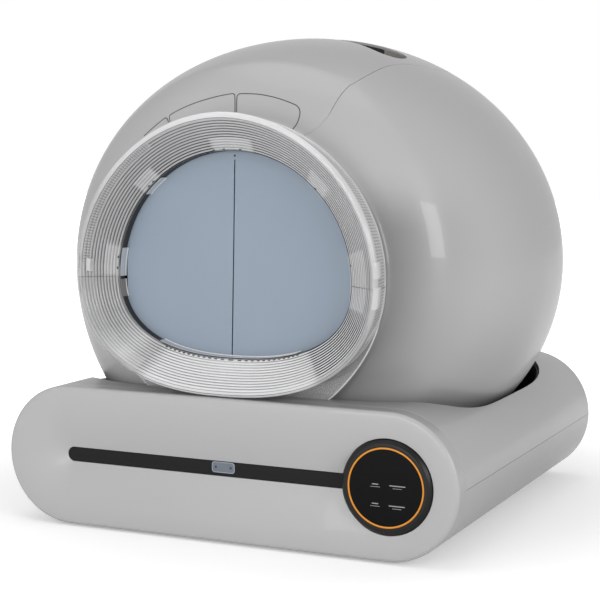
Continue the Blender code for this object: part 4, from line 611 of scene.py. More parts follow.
def skin(rings, closed=False, marks=None, bm=None):
    """Draw closed rings of points into a skin, closed by end faces or back to the first ring.

    The marks are named values for every point of every ring."""
    bm = bmesh.new() if bm is None else bm
    layers = {name: bm.verts.layers.float.new(name) for name in marks or ()}
    first = loop = circle_of(bm, rings[0])
    for place, ring in enumerate(rings):
        if place:
            made = bmesh.ops.extrude_edge_only(bm, edges=edges_round(bm, loop))["geom"]
            fresh = {part for part in made if isinstance(part, bmesh.types.BMVert)}
            loop = [next(edge.other_vert(vert) for edge in vert.link_edges if edge.other_vert(vert) in fresh)
                    for vert in loop]
            for vert, point in zip(loop, ring):
                vert.co = point
        for name, layer in layers.items():
            for vert, value in zip(loop, marks[name][place]):
                vert[layer] = value
    if closed:
        bmesh.ops.bridge_loops(bm, edges=edges_round(bm, first) + edges_round(bm, loop))
    else:
        for end in (first, loop):
            bmesh.ops.contextual_create(bm, geom=edges_round(bm, end))
    bmesh.ops.recalc_face_normals(bm, faces=bm.faces)
    return bm


def prism(points, low, high, upright=False, bm=None):
    """A flat outline run along Z, or along Y where it stands upright."""
    bm = bmesh.new() if bm is None else bm
    verts = circle_of(bm, [(a, low, b) if upright else (a, b, low) for a, b in points], True)
    made = bmesh.ops.extrude_face_region(bm, geom=list(verts[0].link_faces), use_keep_orig=True)["geom"]
    moved = [part for part in made if isinstance(part, bmesh.types.BMVert)]
    bmesh.ops.translate(bm, vec=(0, high - low, 0) if upright else (0, 0, high - low), verts=moved)
    bmesh.ops.recalc_face_normals(bm, faces=bm.faces)
    return bm


def turned(profile, at, steps, bm=None):
    """A closed profile of (radius, y), spun about an axis along Y through a point."""
    bm = bmesh.new() if bm is None else bm
    verts = [bm.verts.new(Vector((radius, reach, 0)) + Vector(at)) for radius, reach in profile]
    on_axis = profile[0][0] == 0 and profile[-1][0] == 0
    pairs = list(zip(verts, verts[1:])) + ([] if on_axis else [(verts[-1], verts[0])])
    edges = [bm.edges.new(pair) for pair in pairs]
    bmesh.ops.spin(bm, geom=verts + edges, cent=at, axis=(0, 1, 0), dvec=(0, 0, 0), angle=2 * pi,
                   steps=steps, use_merge=True, use_duplicate=False)
    bmesh.ops.remove_doubles(bm, verts=bm.verts, dist=SAME_PLACE)
    bmesh.ops.recalc_face_normals(bm, faces=bm.faces)
    return bm


def block(low, high):
    """A box between two corners."""
    bm = bmesh.new()
    low, high = Vector(low), Vector(high)
    made = bmesh.ops.create_cube(bm, size=1.0)["verts"]
    bmesh.ops.scale(bm, vec=high - low, verts=made)
    bmesh.ops.translate(bm, vec=(low + high) / 2, verts=made)
    return bm


def arc_band(bm, middle, half, low_depth, high_depth, front, back, parts=None):
    """A short length of the mouth's band between two depths and two places along y."""
    count = parts or max(6, int(half))
    loops = []
    for part in range(count + 1):
        angle = radians(middle - half + 2 * half * part / count)
        near, far = ring_point(angle, low_depth), ring_point(angle, high_depth)
        loops.append([(spot[0], along, spot[1])
                      for spot, along in ((far, front), (far, back), (near, back), (near, front))])
    return skin(loops, bm=bm)


def show_smooth(mesh, sharp):
    """Shade a mesh smooth, apart from its sharp edges."""
    mesh.shade_smooth()
    mesh.set_sharp_from_angle(angle=radians(sharp))


def make_piece(name, bm, finish=None, sharp=SHARP_ANGLE):
    """A new object at the origin with the mesh's place in it."""
    mesh = bpy.data.meshes.new(name)
    bm.to_mesh(mesh)
    bm.free()
    made = bpy.data.objects.new(name, mesh)
    bpy.context.scene.collection.objects.link(made)
    if finish:
        mesh.materials.append(finish)
    show_smooth(mesh, sharp)
    return made


def cut(piece, operation, tool_mesh):
    """Cut, trim or join a piece with a tool, which is used up."""
    tool = make_piece("tool", tool_mesh)
    step = piece.modifiers.new("cut", "BOOLEAN")
    step.operation = operation
    step.solver = "EXACT"
    step.object = tool
    bpy.context.view_layer.update()
    mesh = bpy.data.meshes.new_from_object(piece.evaluated_get(bpy.context.evaluated_depsgraph_get()))
    piece.modifiers.clear()
    old = piece.data
    mesh.name = piece.name
    piece.data = mesh
    bpy.data.meshes.remove(old)
    bpy.data.objects.remove(tool, do_unlink=True)
    show_smooth(mesh, SHARP_ANGLE)


def build(name, bm, finish, body, slot, *nodes, cuts=(), sharp=SHARP_ANGLE):
    """Make a piece, cut it, hang it on its body and let it stand for the frame's nodes."""
    piece = make_piece(name, bm, finish, sharp)
    for operation, tool_mesh in cuts:
        cut(piece, operation, tool_mesh)
    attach(piece, body)
    if nodes:
        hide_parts(*nodes)


# Finishes


def wire(tree, node, given):
    """Put a value or a link on each of a node's sockets that are given."""
    for label, value in dict(given).items():
        if isinstance(value, bpy.types.NodeSocket):
            tree.links.new(value, node.inputs[label])
        else:
            node.inputs[label].default_value = value


def add(tree, kind, given=(), **settings):
    """A new shader node with its settings and sockets."""
    node = tree.nodes.new("ShaderNode" + kind)
    for name, value in settings.items():
        setattr(node, name, value)
    wire(tree, node, given)
    return node


def sum_of(tree, operation, *values, clamp=False):
    """The result of a maths node."""
    return add(tree, "Math", enumerate(values), operation=operation, use_clamp=clamp).outputs[0]


def scaled(tree, colour, share):
    """A colour times a share."""
    return add(tree, "VectorMath", {0: colour, "Scale": share}, operation="SCALE").outputs[0]


def ramp(tree, value, low, high, first=0.0, last=1.0):
    """A smooth step from the first value to the last, between two limits."""
    return add(tree, "MapRange", {"Value": value, "From Min": low, "From Max": high, "To Min": first,
                                  "To Max": last}, interpolation_type="SMOOTHSTEP").outputs["Result"]


def own_place(tree):
    """The place in the object's own coordinates, whole and as X, Y and Z."""
    place = add(tree, "TexCoord").outputs["Object"]
    return place, add(tree, "SeparateXYZ", {0: place}).outputs


def socket_kind(label):
    """The kind of a node group's socket, told from its name."""
    return "NodeSocketColor" if label == "Colour" else "NodeSocketFloat"


def new_group(name, inputs):
    """A node group with named inputs."""
    tree = bpy.data.node_groups.new(name, "ShaderNodeTree")
    for label, value in inputs.items():
        socket = tree.interface.new_socket(label, in_out="INPUT", socket_type=socket_kind(label))
        socket.default_value = value
    return tree, tree.nodes.new("NodeGroupInput").outputs


def closed_group(tree, results):
    """The node group with its named outputs."""
    for label in results:
        tree.interface.new_socket(label, in_out="OUTPUT", socket_type=socket_kind(label))
    wire(tree, tree.nodes.new("NodeGroupOutput"), results)
    return tree


def effect(tree, group, given=()):
    """The outputs of a shared effect. Its node group is made at its first use."""
    made = bpy.data.node_groups.get(group.__name__.replace("_", " ")) or group()
    return add(tree, "Group", given, node_tree=made).outputs


def moulded_grain():
    """The fine texture of moulded plastic: a tone that wanders a little, and a fine grain."""
    tree, given = new_group("moulded grain", {
        "Colour": (0.5, 0.5, 0.5, 1), "Tone Spread": 0.04, "Grain Scale": 1400.0, "Roughness": 0.45,
        "Roughness Spread": 0.06})
    place = own_place(tree)[0]
    broad = add(tree, "TexNoise", {"Vector": place, "Scale": 7.0, "Detail": 3.0}).outputs["Fac"]
    grain = {"Vector": place, "Scale": given["Grain Scale"], "Detail": 2.0}
    fine = add(tree, "TexNoise", grain).outputs["Fac"]
    centred = sum_of(tree, "MULTIPLY_ADD", broad, 2.0, -1.0)
    tone = sum_of(tree, "MULTIPLY_ADD", centred, given["Tone Spread"], 1.0)
    rough = sum_of(tree, "MULTIPLY_ADD", centred, given["Roughness Spread"], given["Roughness"])
    return closed_group(tree, {
        "Colour": scaled(tree, given["Colour"], tone), "Roughness": rough, "Height": fine})


def woven_cloth():
    """A fine plain weave seen from the front, with a slow change of tone."""
    tree, given = new_group("woven cloth", {
        "Colour": (0.5, 0.5, 0.5, 1), "Threads": 1300.0, "Tone Spread": 0.05})
    place, split = own_place(tree)
    waves = [sum_of(tree, "SINE", sum_of(tree, "MULTIPLY", split[axis], given["Threads"]))
             for axis in ("X", "Z")]
    broad = add(tree, "TexNoise", {"Vector": place, "Scale": 9.0}).outputs["Fac"]
    tone = sum_of(tree, "MULTIPLY_ADD", sum_of(tree, "SUBTRACT", broad, 0.5), given["Tone Spread"], 1.0)
    return closed_group(tree, {
        "Colour": scaled(tree, given["Colour"], tone), "Height": sum_of(tree, "MULTIPLY", *waves)})


def knurled_lines():
    """Turns the groove mark into a darkness: above nought the painted shade of a groove, below nought a row
    of knurls.
    """
    tree, given = new_group("knurled lines", {"Mark": 0.0, "Teeth": 330.0, "Middle": 0.322})
    split = own_place(tree)[1]
    up = sum_of(tree, "SUBTRACT", split["Z"], given["Middle"])
    turn = sum_of(tree, "ARCTAN2", up, split["X"])
    wave = sum_of(tree, "SINE", sum_of(tree, "MULTIPLY", turn, given["Teeth"]))
    dots = sum_of(tree, "MULTIPLY_ADD", wave, 1.6, 0.5, clamp=True)
    groove = sum_of(tree, "MAXIMUM", given["Mark"], 0.0)
    knurl = sum_of(tree, "MAXIMUM", sum_of(tree, "MULTIPLY", given["Mark"], -1.0), 0.0)
    dark = sum_of(tree, "MULTIPLY", sum_of(tree, "MULTIPLY", knurl, dots), 0.4)
    return closed_group(tree, {"Dark": sum_of(tree, "MINIMUM", sum_of(tree, "MAXIMUM", groove, dark), 1.0)})


def ring_shade():
    """The soft shade on the housing beside the ring, strongest low on the right."""
    tree, given = new_group("ring shade", {"Near Strength": 0.46, "Low Strength": 0.16})
    split = own_place(tree)[1]

    def product(*shares):
        total = shares[0]
        for share in shares[1:]:
            total = sum_of(tree, "MULTIPLY", total, share)
        return total

    across = sum_of(tree, "DIVIDE", split["X"], SHADE_HALF_WIDTH)
    up = sum_of(tree, "DIVIDE", sum_of(tree, "SUBTRACT", split["Z"], SHADE_MIDDLE_Z), SHADE_HALF_HEIGHT)
    far = sum_of(tree, "SQRT", sum_of(tree, "ADD", product(across, across), product(up, up)))
    right = ramp(tree, split["X"], *SHADE_X)
    near = product(ramp(tree, far, *SHADE_REACH, 1.0, 0.0), ramp(tree, split["Z"], *SHADE_TOP_Z, 1.0, 0.0),
                   right, given["Near Strength"])
    low = product(ramp(tree, split["Z"], *SHADE_LOW_Z, 1.0, 0.0), right, given["Low Strength"])
    return closed_group(tree, {
        "Shade": product(sum_of(tree, "SUBTRACT", 1.0, near), sum_of(tree, "SUBTRACT", 1.0, low))})


def new_finish(name, **values):
    """A Principled material with constants set on its sockets."""
    made = bpy.data.materials.new(name)
    made.use_nodes = True
    shader = made.node_tree.nodes["Principled BSDF"]
    for label, value in values.items():
        socket = shader.inputs[label.replace("_", " ")]
        socket.default_value = (*value, 1.0) if socket.type == "RGBA" else value
    return made, made.node_tree, shader


def bumped(tree, height, strength, distance):
    """The normal of a surface with a height."""
    return add(tree, "Bump", {"Height": height, "Strength": strength, "Distance": distance}).outputs["Normal"]


def moulded(name, colour, roughness, spread=0.03, grain=1400.0, depth=0.00006, coat=0.0, **values):
    """Moulded plastic or rubber of one colour."""
    if name in bpy.data.materials:
        return bpy.data.materials[name]
    made, tree, shader = new_finish(name, Coat_Weight=coat, **values)
    grained = effect(tree, moulded_grain, {
        "Colour": (*colour, 1.0), "Tone Spread": spread, "Grain Scale": grain, "Roughness": roughness})
    wire(tree, shader, {"Base Color": grained["Colour"], "Roughness": grained["Roughness"],
                        "Normal": bumped(tree, grained["Height"], 0.25, depth)})
    return made


def clear_plastic(name, alpha, roughness=0.12, light=None, cast=(1.0, 1.0, 1.008)):
    """Clear moulded plastic: painted shade darkens its grooves, its knurls look dark, and its grazing faces
    look denser.
    """
    if name in bpy.data.materials:
        return bpy.data.materials[name]
    made, tree, shader = new_finish(name, Roughness=roughness, Coat_Weight=0.5, Coat_Roughness=0.05)
    mark = add(tree, "Attribute", attribute_name="groove").outputs["Fac"]
    dark = effect(tree, knurled_lines, {"Teeth": KNURL_TEETH, "Mark": mark})["Dark"]
    # The light mark is painted light and shade: each point's lightness stands in for how the lamps fall on
    # the ring
    if light is None:
        light = add(tree, "Attribute", attribute_name="light").outputs["Fac"]
    tone = add(tree, "Mix", {"A": scaled(tree, cast, light), "B": GROOVE_PAINTED_SHADE, "Factor": dark},
               data_type="RGBA")
    facing = add(tree, "LayerWeight", {"Blend": 0.35}).outputs["Facing"]
    dense = add(tree, "MapRange", {"To Min": alpha, "To Max": 1.0, "Value": facing}).outputs["Result"]
    wire(tree, shader, {"Base Color": tone.outputs["Result"], "Alpha": sum_of(tree, "MAXIMUM", dense, dark)})
    return made


def shell_finish(housing=False):
    """The satin grey of the shells, with painted shade where it turns away from the view and, on the housing,
    painted shade beside the ring.
    """
    name, coat = ("housing_satin_grey", 0.24) if housing else ("shell_satin_grey", 0.22)
    if name in bpy.data.materials:
        return bpy.data.materials[name]
    made = moulded(name, bpy.context.scene.litter_base.shell_colour, 0.40, 0.02, coat=coat)
    tree = made.node_tree
    base = tree.nodes["Principled BSDF"].inputs["Base Color"]
    # Painted shade: the colour darkens as the surface turns away from the view, and on the housing beside the
    # ring
    facing = add(tree, "LayerWeight", {"Blend": 0.5}).outputs["Facing"]
    tone = scaled(tree, base.links[0].from_socket, ramp(tree, facing, 0.30, 1.0, 1.0, 0.60))
    if housing:
        tone = scaled(tree, tone, effect(tree, ring_shade)["Shade"])
    tree.links.new(tone, base)
    return made


def recess_finish():
    """The hand recess: warm grey ends with near-black painted shade between them."""
    made = moulded("recess_warm_grey", (0.30, 0.285, 0.262), 0.5, 0.04)
    tree = made.node_tree
    base = tree.nodes["Principled BSDF"].inputs["Base Color"]
    side = sum_of(tree, "ABSOLUTE", own_place(tree)[1]["X"])
    tone = add(tree, "Mix", {
        "A": RECESS_PAINTED_SHADE, "B": base.links[0].from_socket,
        "Factor": ramp(tree, side, RECESS_SHADE_X - 0.001, RECESS_SHADE_X + 0.001)}, data_type="RGBA")
    tree.links.new(tone.outputs["Result"], base)
    return made


def dark_finish():
    """The dark satin plastic of the tray, near black, which also paints the shade in the gap down into the
    well.
    """
    return moulded("tray_dark", bpy.context.scene.litter_base.tray_colour, 0.5, 0.05)


def rubber_finish():
    """Dark rubber."""
    return moulded("gasket_rubber", bpy.context.scene.litter_ring.rubber_colour, 0.62, 0.06, grain=900.0)


def steel_finish():
    """Bright turned steel with a fine grain."""
    return moulded("screw_steel", (0.56, 0.56, 0.57), 0.28, 0.08, grain=2200.0, Metallic=1.0)


# Places that several steps share


def view_axes(stage):
    """The camera's own right, up and forward directions."""
    turn = radians(stage.azimuth)
    rise = radians(stage.elevation)
    ahead = Vector((-sin(turn) * cos(rise), cos(turn) * cos(rise), -sin(rise)))
    across = Vector((cos(turn), sin(turn), 0))
    return across, across.cross(ahead), ahead


def base_place():
    """Radius, middle height and end of the base's stadium."""
    base = bpy.context.scene.litter_base
    radius = base.height / 2
    return radius, base.foot_height + radius, base.width / 2 - radius


def lane(radius, along, end_inset=0.0):
    """The outline of the base, or one inside it, at a place along its depth."""
    middle_z, end_x = base_place()[1:]
    return at_y(stadium(radius, middle_z, end_x - end_inset), along)


def quarter_turn(steps):
    """Angles from nought to a right angle."""
    return [pi / 2 * part / steps for part in range(steps + 1)]


class LITTER_OT_base_shells(bpy.types.Operator):
    """Build the two shells of the base round the well"""

    bl_idname = "litter.base_shells"
    bl_label = "Base shells"

    def execute(self, context):
        base = context.scene.litter_base
        radius, middle_z = base_place()[:2]
        front_y = BASE_FRONT_Y + base.panel_depth + base.seam
        rings = [lane(radius - base.wall, BASE_REAR_Y - base.wall), lane(radius - base.wall, front_y)]
        rings += [lane(radius - EDGE_ROUND * (1 - sin(turn)), front_y + EDGE_ROUND * (1 - cos(turn)))
                  for turn in quarter_turn(4)]
        rings += [lane(radius - REAR_FILLET * (1 - cos(turn)),
                       BASE_REAR_Y - REAR_FILLET + REAR_FILLET * sin(turn)) for turn in quarter_turn(6)]
        far = base.width
        above = block((-far, -far, middle_z - base.seam / 2), (far, far, far))
        below = block((-far, -far, -far), (far, far, middle_z + base.seam / 2))
        well = prism(well_outline(0), middle_z - base.wall, middle_z + 2 * radius)
        build("base_lower_skin", skin(rings), shell_finish(), "base", "shell_grey", "base_lower_shell",
              cuts=[(CUT, above)])
        build("base_upper_skin", skin(rings), shell_finish(), "base", "shell_grey", "base_upper_shell",
              cuts=[(CUT, below), (CUT, well)])
        return {"FINISHED"}


class LITTER_OT_tray(bpy.types.Operator):
    """Build the dark tray that lines the well, with its chute and the ears of the rollers"""

    bl_idname = "litter.tray"
    bl_label = "Tray"

    def execute(self, context):
        radius, middle_z = base_place()[:2]
        top = TRAY_FLOOR_Z + TRAY_FLOOR
        tray = prism(well_outline(FIT), TRAY_FLOOR_Z, middle_z + 2 * radius)
        cuts = [(CUT, prism(well_outline(FIT + TRAY_WALL), top, middle_z + 3 * radius)),
                (TRIM, skin([lane(radius - TRAY_DROP, along) for along in (BASE_FRONT_Y, BASE_REAR_Y)])),
                (CUT, prism(rounded_rectangle(CHUTE_HALF, CHUTE_HALF, CHUTE_CORNER), 0, 2 * top))]
        lowest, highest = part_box("drum_roller_right")
        centre = (Vector(lowest) + Vector(highest)) / 2
        half = (highest[1] - lowest[1]) / 2 + EAR_GAP
        half_turn = [pi * step / 12 for step in range(13)]
        for side in (-1, 1):
            ear = [(side * centre[0] + EAR_RADIUS * cos(turn),
                    centre[2] + EAR_RADIUS * sin(turn)) for turn in half_turn]
            ear += [(side * centre[0] + spread, top - TRAY_FLOOR / 2) for spread in (-EAR_FOOT, EAR_FOOT)]
            for end in (-1, 1):
                near = centre[1] + end * half
                far = near + end * EAR_THICKNESS
                cuts.append((JOIN, prism(ear, min(near, far), max(near, far), True)))
        build("tray_skin", tray, dark_finish(), "base", "dark_plastic", "drum_tray", cuts=cuts)
        return {"FINISHED"}


def pod_hole():
    """The tool that opens the drawer front and its strip for the pod."""
    radius = bpy.context.scene.litter_pod.radius + POD_GAP
    middle_z, end_x = base_place()[1:]
    profile = [(0, POD_HOLE_FRONT_Y), (radius, POD_HOLE_FRONT_Y), (radius, POD_HOLE_REAR_Y),
               (0, POD_HOLE_REAR_Y)]
    return turned(profile, (end_x, 0, middle_z), 128)


class LITTER_OT_drawer_front(bpy.types.Operator):
    """Build the dished drawer front with its dark strip"""

    bl_idname = "litter.drawer_front"
    bl_label = "Drawer front"

    def execute(self, context):
        base = context.scene.litter_base
        radius = base_place()[0]
        back_y = BASE_FRONT_Y + base.panel_depth
        rim = radius - PANEL_FILLET
        half_strip = base.strip_height / 2
        slot = half_strip + FIT
        rings = [lane(rim - 0.001, back_y - 0.005), lane(rim - 0.001, back_y),
                 lane(radius - EDGE_ROUND, back_y), lane(radius, back_y - EDGE_ROUND)]
        rings += [lane(radius - PANEL_FILLET * (1 - cos(turn)), BASE_FRONT_Y + PANEL_FILLET * (1 - sin(turn)))
                  for turn in quarter_turn(8)]
        for part in range(1, DISH_STEPS + 1):
            share = part / DISH_STEPS
            here = rim + (slot - rim) * share
            slot_y = BASE_FRONT_Y + base.dish_depth * (1 - here / rim) ** DISH_EXPONENT
            rings.append(lane(here, slot_y, STRIP_END_INSET * share))
        strip_back = slot_y + STRIP_SETBACK
        rings.append(lane(slot, strip_back + FIT, STRIP_END_INSET))
        build("drawer_front_skin", skin(rings), shell_finish(), "drawer", "shell_grey", "drawer_front",
              cuts=[(CUT, pod_hole())])
        strip = skin([lane(half_strip - inset, strip_back - ahead, STRIP_END_INSET)
                      for inset, ahead in ((0, 0), (0, 0.0017), (0.0003, 0.002))])
        gloss = moulded("strip_dark_gloss", base.strip_colour, 0.34, 0.05, Specular_IOR_Level=0.05)
        build("strip_skin", strip, gloss, "drawer", "strip_black", "drawer_strip", cuts=[(CUT, pod_hole())])
        return {"FINISHED"}


class LITTER_OT_pull_tab(bpy.types.Operator):
    """Build the smoky pull tab with its lighter rim and its two round spots"""

    bl_idname = "litter.pull_tab"
    bl_label = "Pull tab"

    def execute(self, context):
        low, high = [Vector(corner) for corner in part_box("drawer_pull_tab")]
        half, up, face = (high[0] - low[0]) / 2, (high[2] - low[2]) / 2, low[1]
        centre = ((low[0] + high[0]) / 2, (low[2] + high[2]) / 2)

        def plate(steps):
            return [at_y(rounded_rectangle(half - inset, up - inset, TAB_CORNER - inset, centre), along)
                    for inset, along in steps]

        def from_face(profile):
            return [(inset, face + behind) for inset, behind in profile]

        tab = plate([(TAB_EDGE, high[1]), (0.0, high[1] - TAB_EDGE)] + from_face(TAB_FRONT))
        smoke = moulded("tab_smoke", (0.095, 0.115, 0.150), 0.22, 0.04, coat=0.5)
        build("tab_skin", skin(tab), smoke, "pull_tab", "tab_blue", "drawer_pull_tab")
        spots = bmesh.new()
        for side in (-1, 1):
            at = (centre[0] + side * (half - TAB_SPOT_INSET), 0, centre[1])
            turned(from_face(TAB_SPOT), at, 32, spots)
        dark = moulded("spot_dark", (0.012, 0.013, 0.016), 0.3, 0.05)
        build("tab_spots", spots, dark, "pull_tab", "strip_black")
        grey = moulded("tab_rim_grey", (0.22, 0.25, 0.29), 0.25, 0.04, coat=0.5)
        build("tab_rim", skin(plate(from_face(TAB_RIM)), closed=True), grey, "pull_tab", "tab_blue")
        return {"FINISHED"}


class LITTER_OT_pod(bpy.types.Operator):
    """Build the glossy control pod with its touch glass, light ring and key marks"""

    bl_idname = "litter.pod"
    bl_label = "Control pod"

    def execute(self, context):
        pod = context.scene.litter_pod
        middle_z, end_x = base_place()[1:]
        at = (end_x, 0, middle_z)
        face = BASE_FRONT_Y - pod.proud
        back = BASE_FRONT_Y + pod.length
        ring_in = pod.glass_radius + FIT
        ring_out = ring_in + pod.light_width
        seat = face + POD_SEAT
        body = rounded_profile(
            [(ring_in - POD_WALL, seat), (ring_out + FIT, seat), (ring_out + FIT, face),
             (pod.radius - POD_CHAMFER, face), (pod.radius, face + POD_CHAMFER), (pod.radius, back),
             (pod.radius - POD_WALL, back), (pod.radius - POD_WALL, seat + POD_WALL),
             (ring_in - POD_WALL, seat + POD_WALL)], POD_ROUNDS, 5)
        gloss = moulded("pod_gloss_black", pod.black, 0.36, 0.03, grain=60.0, depth=0.00001,
                        Specular_IOR_Level=0.22)
        build("pod_cup", turned(body, at, POD_STEPS), gloss, "base", "gloss_black", "control_pod_body")
        glass_face = face + GLASS_SETBACK
        glass = [(0, glass_face), (pod.glass_radius - GLASS_BEVEL[0], glass_face),
                 (pod.glass_radius, glass_face + GLASS_BEVEL[1]), (pod.glass_radius, seat - FIT),
                 (0, seat - FIT)]
        gloss = moulded("touch_glass_black", pod.black, 0.16, 0.02, grain=40.0, depth=0.000005,
                        Specular_IOR_Level=0.06)
        build("pod_glass", turned(glass, at, POD_STEPS), gloss, "base", "gloss_black", "touch_glass")
        light_face = face + LIGHT_SETBACK
        light = rounded_profile([(ring_in, seat - FIT), (ring_in, light_face), (ring_out, light_face),
                                 (ring_out, seat - FIT)], (0, LIGHT_ROUND, LIGHT_ROUND, 0), 3)
        orange = moulded("light_orange", pod.orange, 0.30, 0.03, Emission_Color=tuple(pod.orange),
                         Emission_Strength=0.07)
        build("pod_light", turned(light, at, POD_STEPS), orange, "base", "orange", "light_ring")
        marks = bmesh.new()
        for across, up, bars in KEY_MARKS:
            for drop, bar, height in bars:
                points = rounded_rectangle(bar / 2, height / 2, height * MARK_CORNER_SHARE,
                                           (end_x + across, middle_z + up + drop), 3)
                prism(points, glass_face - MARK_PROUD, glass_face + MARK_DEPTH, True, marks)
        build("pod_marks", marks, moulded("mark_grey", (0.30, 0.30, 0.30), 0.5, 0.02), "base", "shell_grey")
        return {"FINISHED"}


class LITTER_OT_globe(bpy.types.Operator):
    """Build the round housing, its lid and the hand recess"""

    bl_idname = "litter.globe"
    bl_label = "Globe and lid"

    def execute(self, context):
        globe = context.scene.litter_globe
        rings = globe_rings(0, globe.half_width) + list(reversed(globe_rings(globe.wall, globe.half_width)))
        lid_line, slot = lid_outline(), recess_outline()
        top = GLOBE_CENTRE_Z + 2 * GLOBE_TOP_RISE
        far = 2 * globe.half_width
        below = block((-far, -far, -far), (far, far, TRAY_FLOOR_Z + TRAY_FLOOR + FIT))
        opening = prism(grown(lid_line, globe.lid_seam, LEFT_SEAM), LID_LOW_Z, top)
        build("globe_skin", skin(rings, closed=True), shell_finish(True), "base", "shell_grey",
              "globe_housing", cuts=[(CUT, below), (CUT, opening)])
        build("lid_skin", skin(rings, closed=True), shell_finish(), "base", "shell_grey", "top_lid",
              cuts=[(TRIM, prism(lid_line, LID_LOW_Z, top)), (CUT, prism(slot, RECESS_FLOOR_Z, top))])
        cup = prism(grown(slot, RECESS_WALL), RECESS_FLOOR_Z - RECESS_WALL, top)
        build("recess_cup", cup, recess_finish(), "base", "recess_beige", "hand_recess",
              cuts=[(CUT, prism(slot, RECESS_FLOOR_Z, 2 * top)),
                    (TRIM, skin(globe_rings(globe.wall + FIT, globe.half_width)))])
        return {"FINISHED"}


class LITTER_OT_panels(bpy.types.Operator):
    """Build the fine outlines of the three blank panels over the ring"""

    bl_idname = "litter.panels"
    bl_label = "Blank panels"

    def execute(self, context):
        stage = context.scene.litter_stage
        eye = Vector(stage.place)
        across, upward, ahead = view_axes(stage)
        reach = stage.lens / SENSOR_WIDTH * VIEW_PIXELS
        carriers = [bpy.data.objects["lid_skin"], bpy.data.objects["globe_skin"]]
        lines = bmesh.new()
        for path in PANEL_LINES:
            hits = []
            for right, down in smooth_line(path, 5):
                ray = ahead * reach + across * (right - VIEW_PIXELS / 2) + upward * (VIEW_PIXELS / 2 - down)
                found = [carrier.ray_cast(eye, ray.normalized())[:3] for carrier in carriers]
                found = [(place, normal) for hit, place, normal in found if hit]
                if found:
                    hits.append(min(found, key=lambda pair: (pair[0] - eye).length))
            loops = []
            for index, (place, normal) in enumerate(hits):
                along = hits[min(index + 1, len(hits) - 1)][0] - hits[max(index - 1, 0)][0]
                side = along.cross(normal).normalized() * PANEL_LINE_WIDTH / 2
                loops.append([tuple(place + side * share + normal * lift)
                              for share, lift in PANEL_LINE_SECTION])
            skin(loops, bm=lines)
        grey = moulded("line_grey", (0.06, 0.06, 0.064), 0.5, 0.05)
        build("panel_lines", lines, grey, "base", "shell_grey")
        return {"FINISHED"}


class LITTER_OT_rear_cover(bpy.types.Operator):
    """Build the flat rear cover with its raised rim, screws and spindle boss"""

    bl_idname = "litter.rear_cover"
    bl_label = "Rear cover"

    def execute(self, context):
        globe = context.scene.litter_globe
        front = COVER_FRONT_Y
        back = front + COVER_DEPTH

        def oval(inset):
            return globe_section(GLOBE_REAR_Y, inset, globe.half_width)

        def bored(profile):
            return turned([(radius, front + reach) for radius, reach in profile], at, 64)

        rings = [at_y(oval(COVER_RIM[0][0]), front)]
        rings += [at_y(oval(inset), back - drop) for inset, drop in COVER_RIM]
        low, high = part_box("drum_spindle")
        at = (0, 0, (Vector(low) / 2 + Vector(high) / 2)[2])
        build("rear_cover_skin", skin(rings), shell_finish(), "base", "shell_grey", "rear_cover",
              cuts=[(JOIN, bored(SPINDLE_BOSS)), (CUT, bored(SPINDLE_BORE))])
        screws = bmesh.new()
        heads = oval(SCREW_INSET)
        for part in range(SCREWS):
            across, up = heads[AROUND_STEPS * (2 * part + 1) // (2 * SCREWS)]
            turned([(radius, back + proud) for radius, proud in SCREW_HEAD], (across, 0, up), 28, screws)
        build("cover_screws", screws, steel_finish(), "base", "steel")
        return {"FINISHED"}


def ring_section(ribs, rib_round):
    """The ring's wall section, from its back round the lip and down the ribs, and back behind them.

    Each entry is the depth in from the lip, y, the mark of a groove or knurl, the share of lip, and the
    place among the ribs, which is nought off them."""
    inset, back, lip, radius = RING_BACK_INSET, RING_BACK_Y, RING_LIP_Y, RING_LIP_RADIUS
    section = [(inset + depth, back + along, 0.0, share, 0.0) for depth, along, share in RING_FLANGE]
    for row in range(1, KNURL_ROWS + 1):
        share = KNURL_START_SHARE + KNURL_PITCH_SHARE * row
        knurl = -0.2 if row in FAINT_ROWS else -1.0
        section.append((inset * (1 - share), back + (lip - back) * share, knurl, 0.3, 0.0))
    for part in range(LIP_STEPS + 1):
        turn = pi - radians(LIP_TURN) * part / LIP_STEPS
        section.append((radius + radius * cos(turn), lip - radius * sin(turn),
                        1.0 if part in LIP_LINES else 0.0, 1.0 if part < LIP_END else 0.4, 0.0))
    start_depth, start_y = section[-1][:2]
    step_depth, step_y = (RING_WIDTH - start_depth) / ribs, (RING_MOUTH_Y - start_y) / ribs
    for rib in range(ribs):
        place = (rib + 0.5) / ribs
        for share, rise, groove in RIB_SHAPE:
            section.append((start_depth + step_depth * rib + step_depth * share,
                            start_y + step_y * rib + step_y * share - rib_round * rise,
                            groove * (0.65 + 0.35 * place), 0.0, place))
    section += [(RING_WIDTH + depth, RING_MOUTH_Y + along, mark, share, 0.0)
                for depth, along, mark, share in MOUTH_LIP]
    return section + [(depth, along, 0.0, 0.0, 0.0) for depth, along in (
        (2 * radius + 0.004, lip + RING_SKIN + 0.001), (radius, lip - radius + RING_SKIN), (RING_SKIN, lip),
        (inset + RING_SKIN, back))]


def ring_tone(degrees, which):
    """The ring's painted light and shade at a place round it, between the places of the table."""
    for low, high in zip(RING_PAINTED_LIGHT, RING_PAINTED_LIGHT[1:]):
        if low[0] <= degrees <= high[0]:
            share = (degrees - low[0]) / (high[0] - low[0])
            share = share * share * (3 - 2 * share)
            return low[which] + (high[which] - low[which]) * share
    return RING_PAINTED_LIGHT[0][which]


def window_share(degrees, place):
    """How far a place in the ribs lies in one of the ring's smooth windows, from 0 to 1."""
    for middle, half, start in WINDOWS:
        off = abs((degrees - middle + 180) % 360 - 180)
        if off <= half and place >= start:
            return min(1.0, half - off + 0.3)
    return 0.0


def within(degrees, span):
    """Whether an angle lies between two others."""
    return span[0] < degrees < span[1]


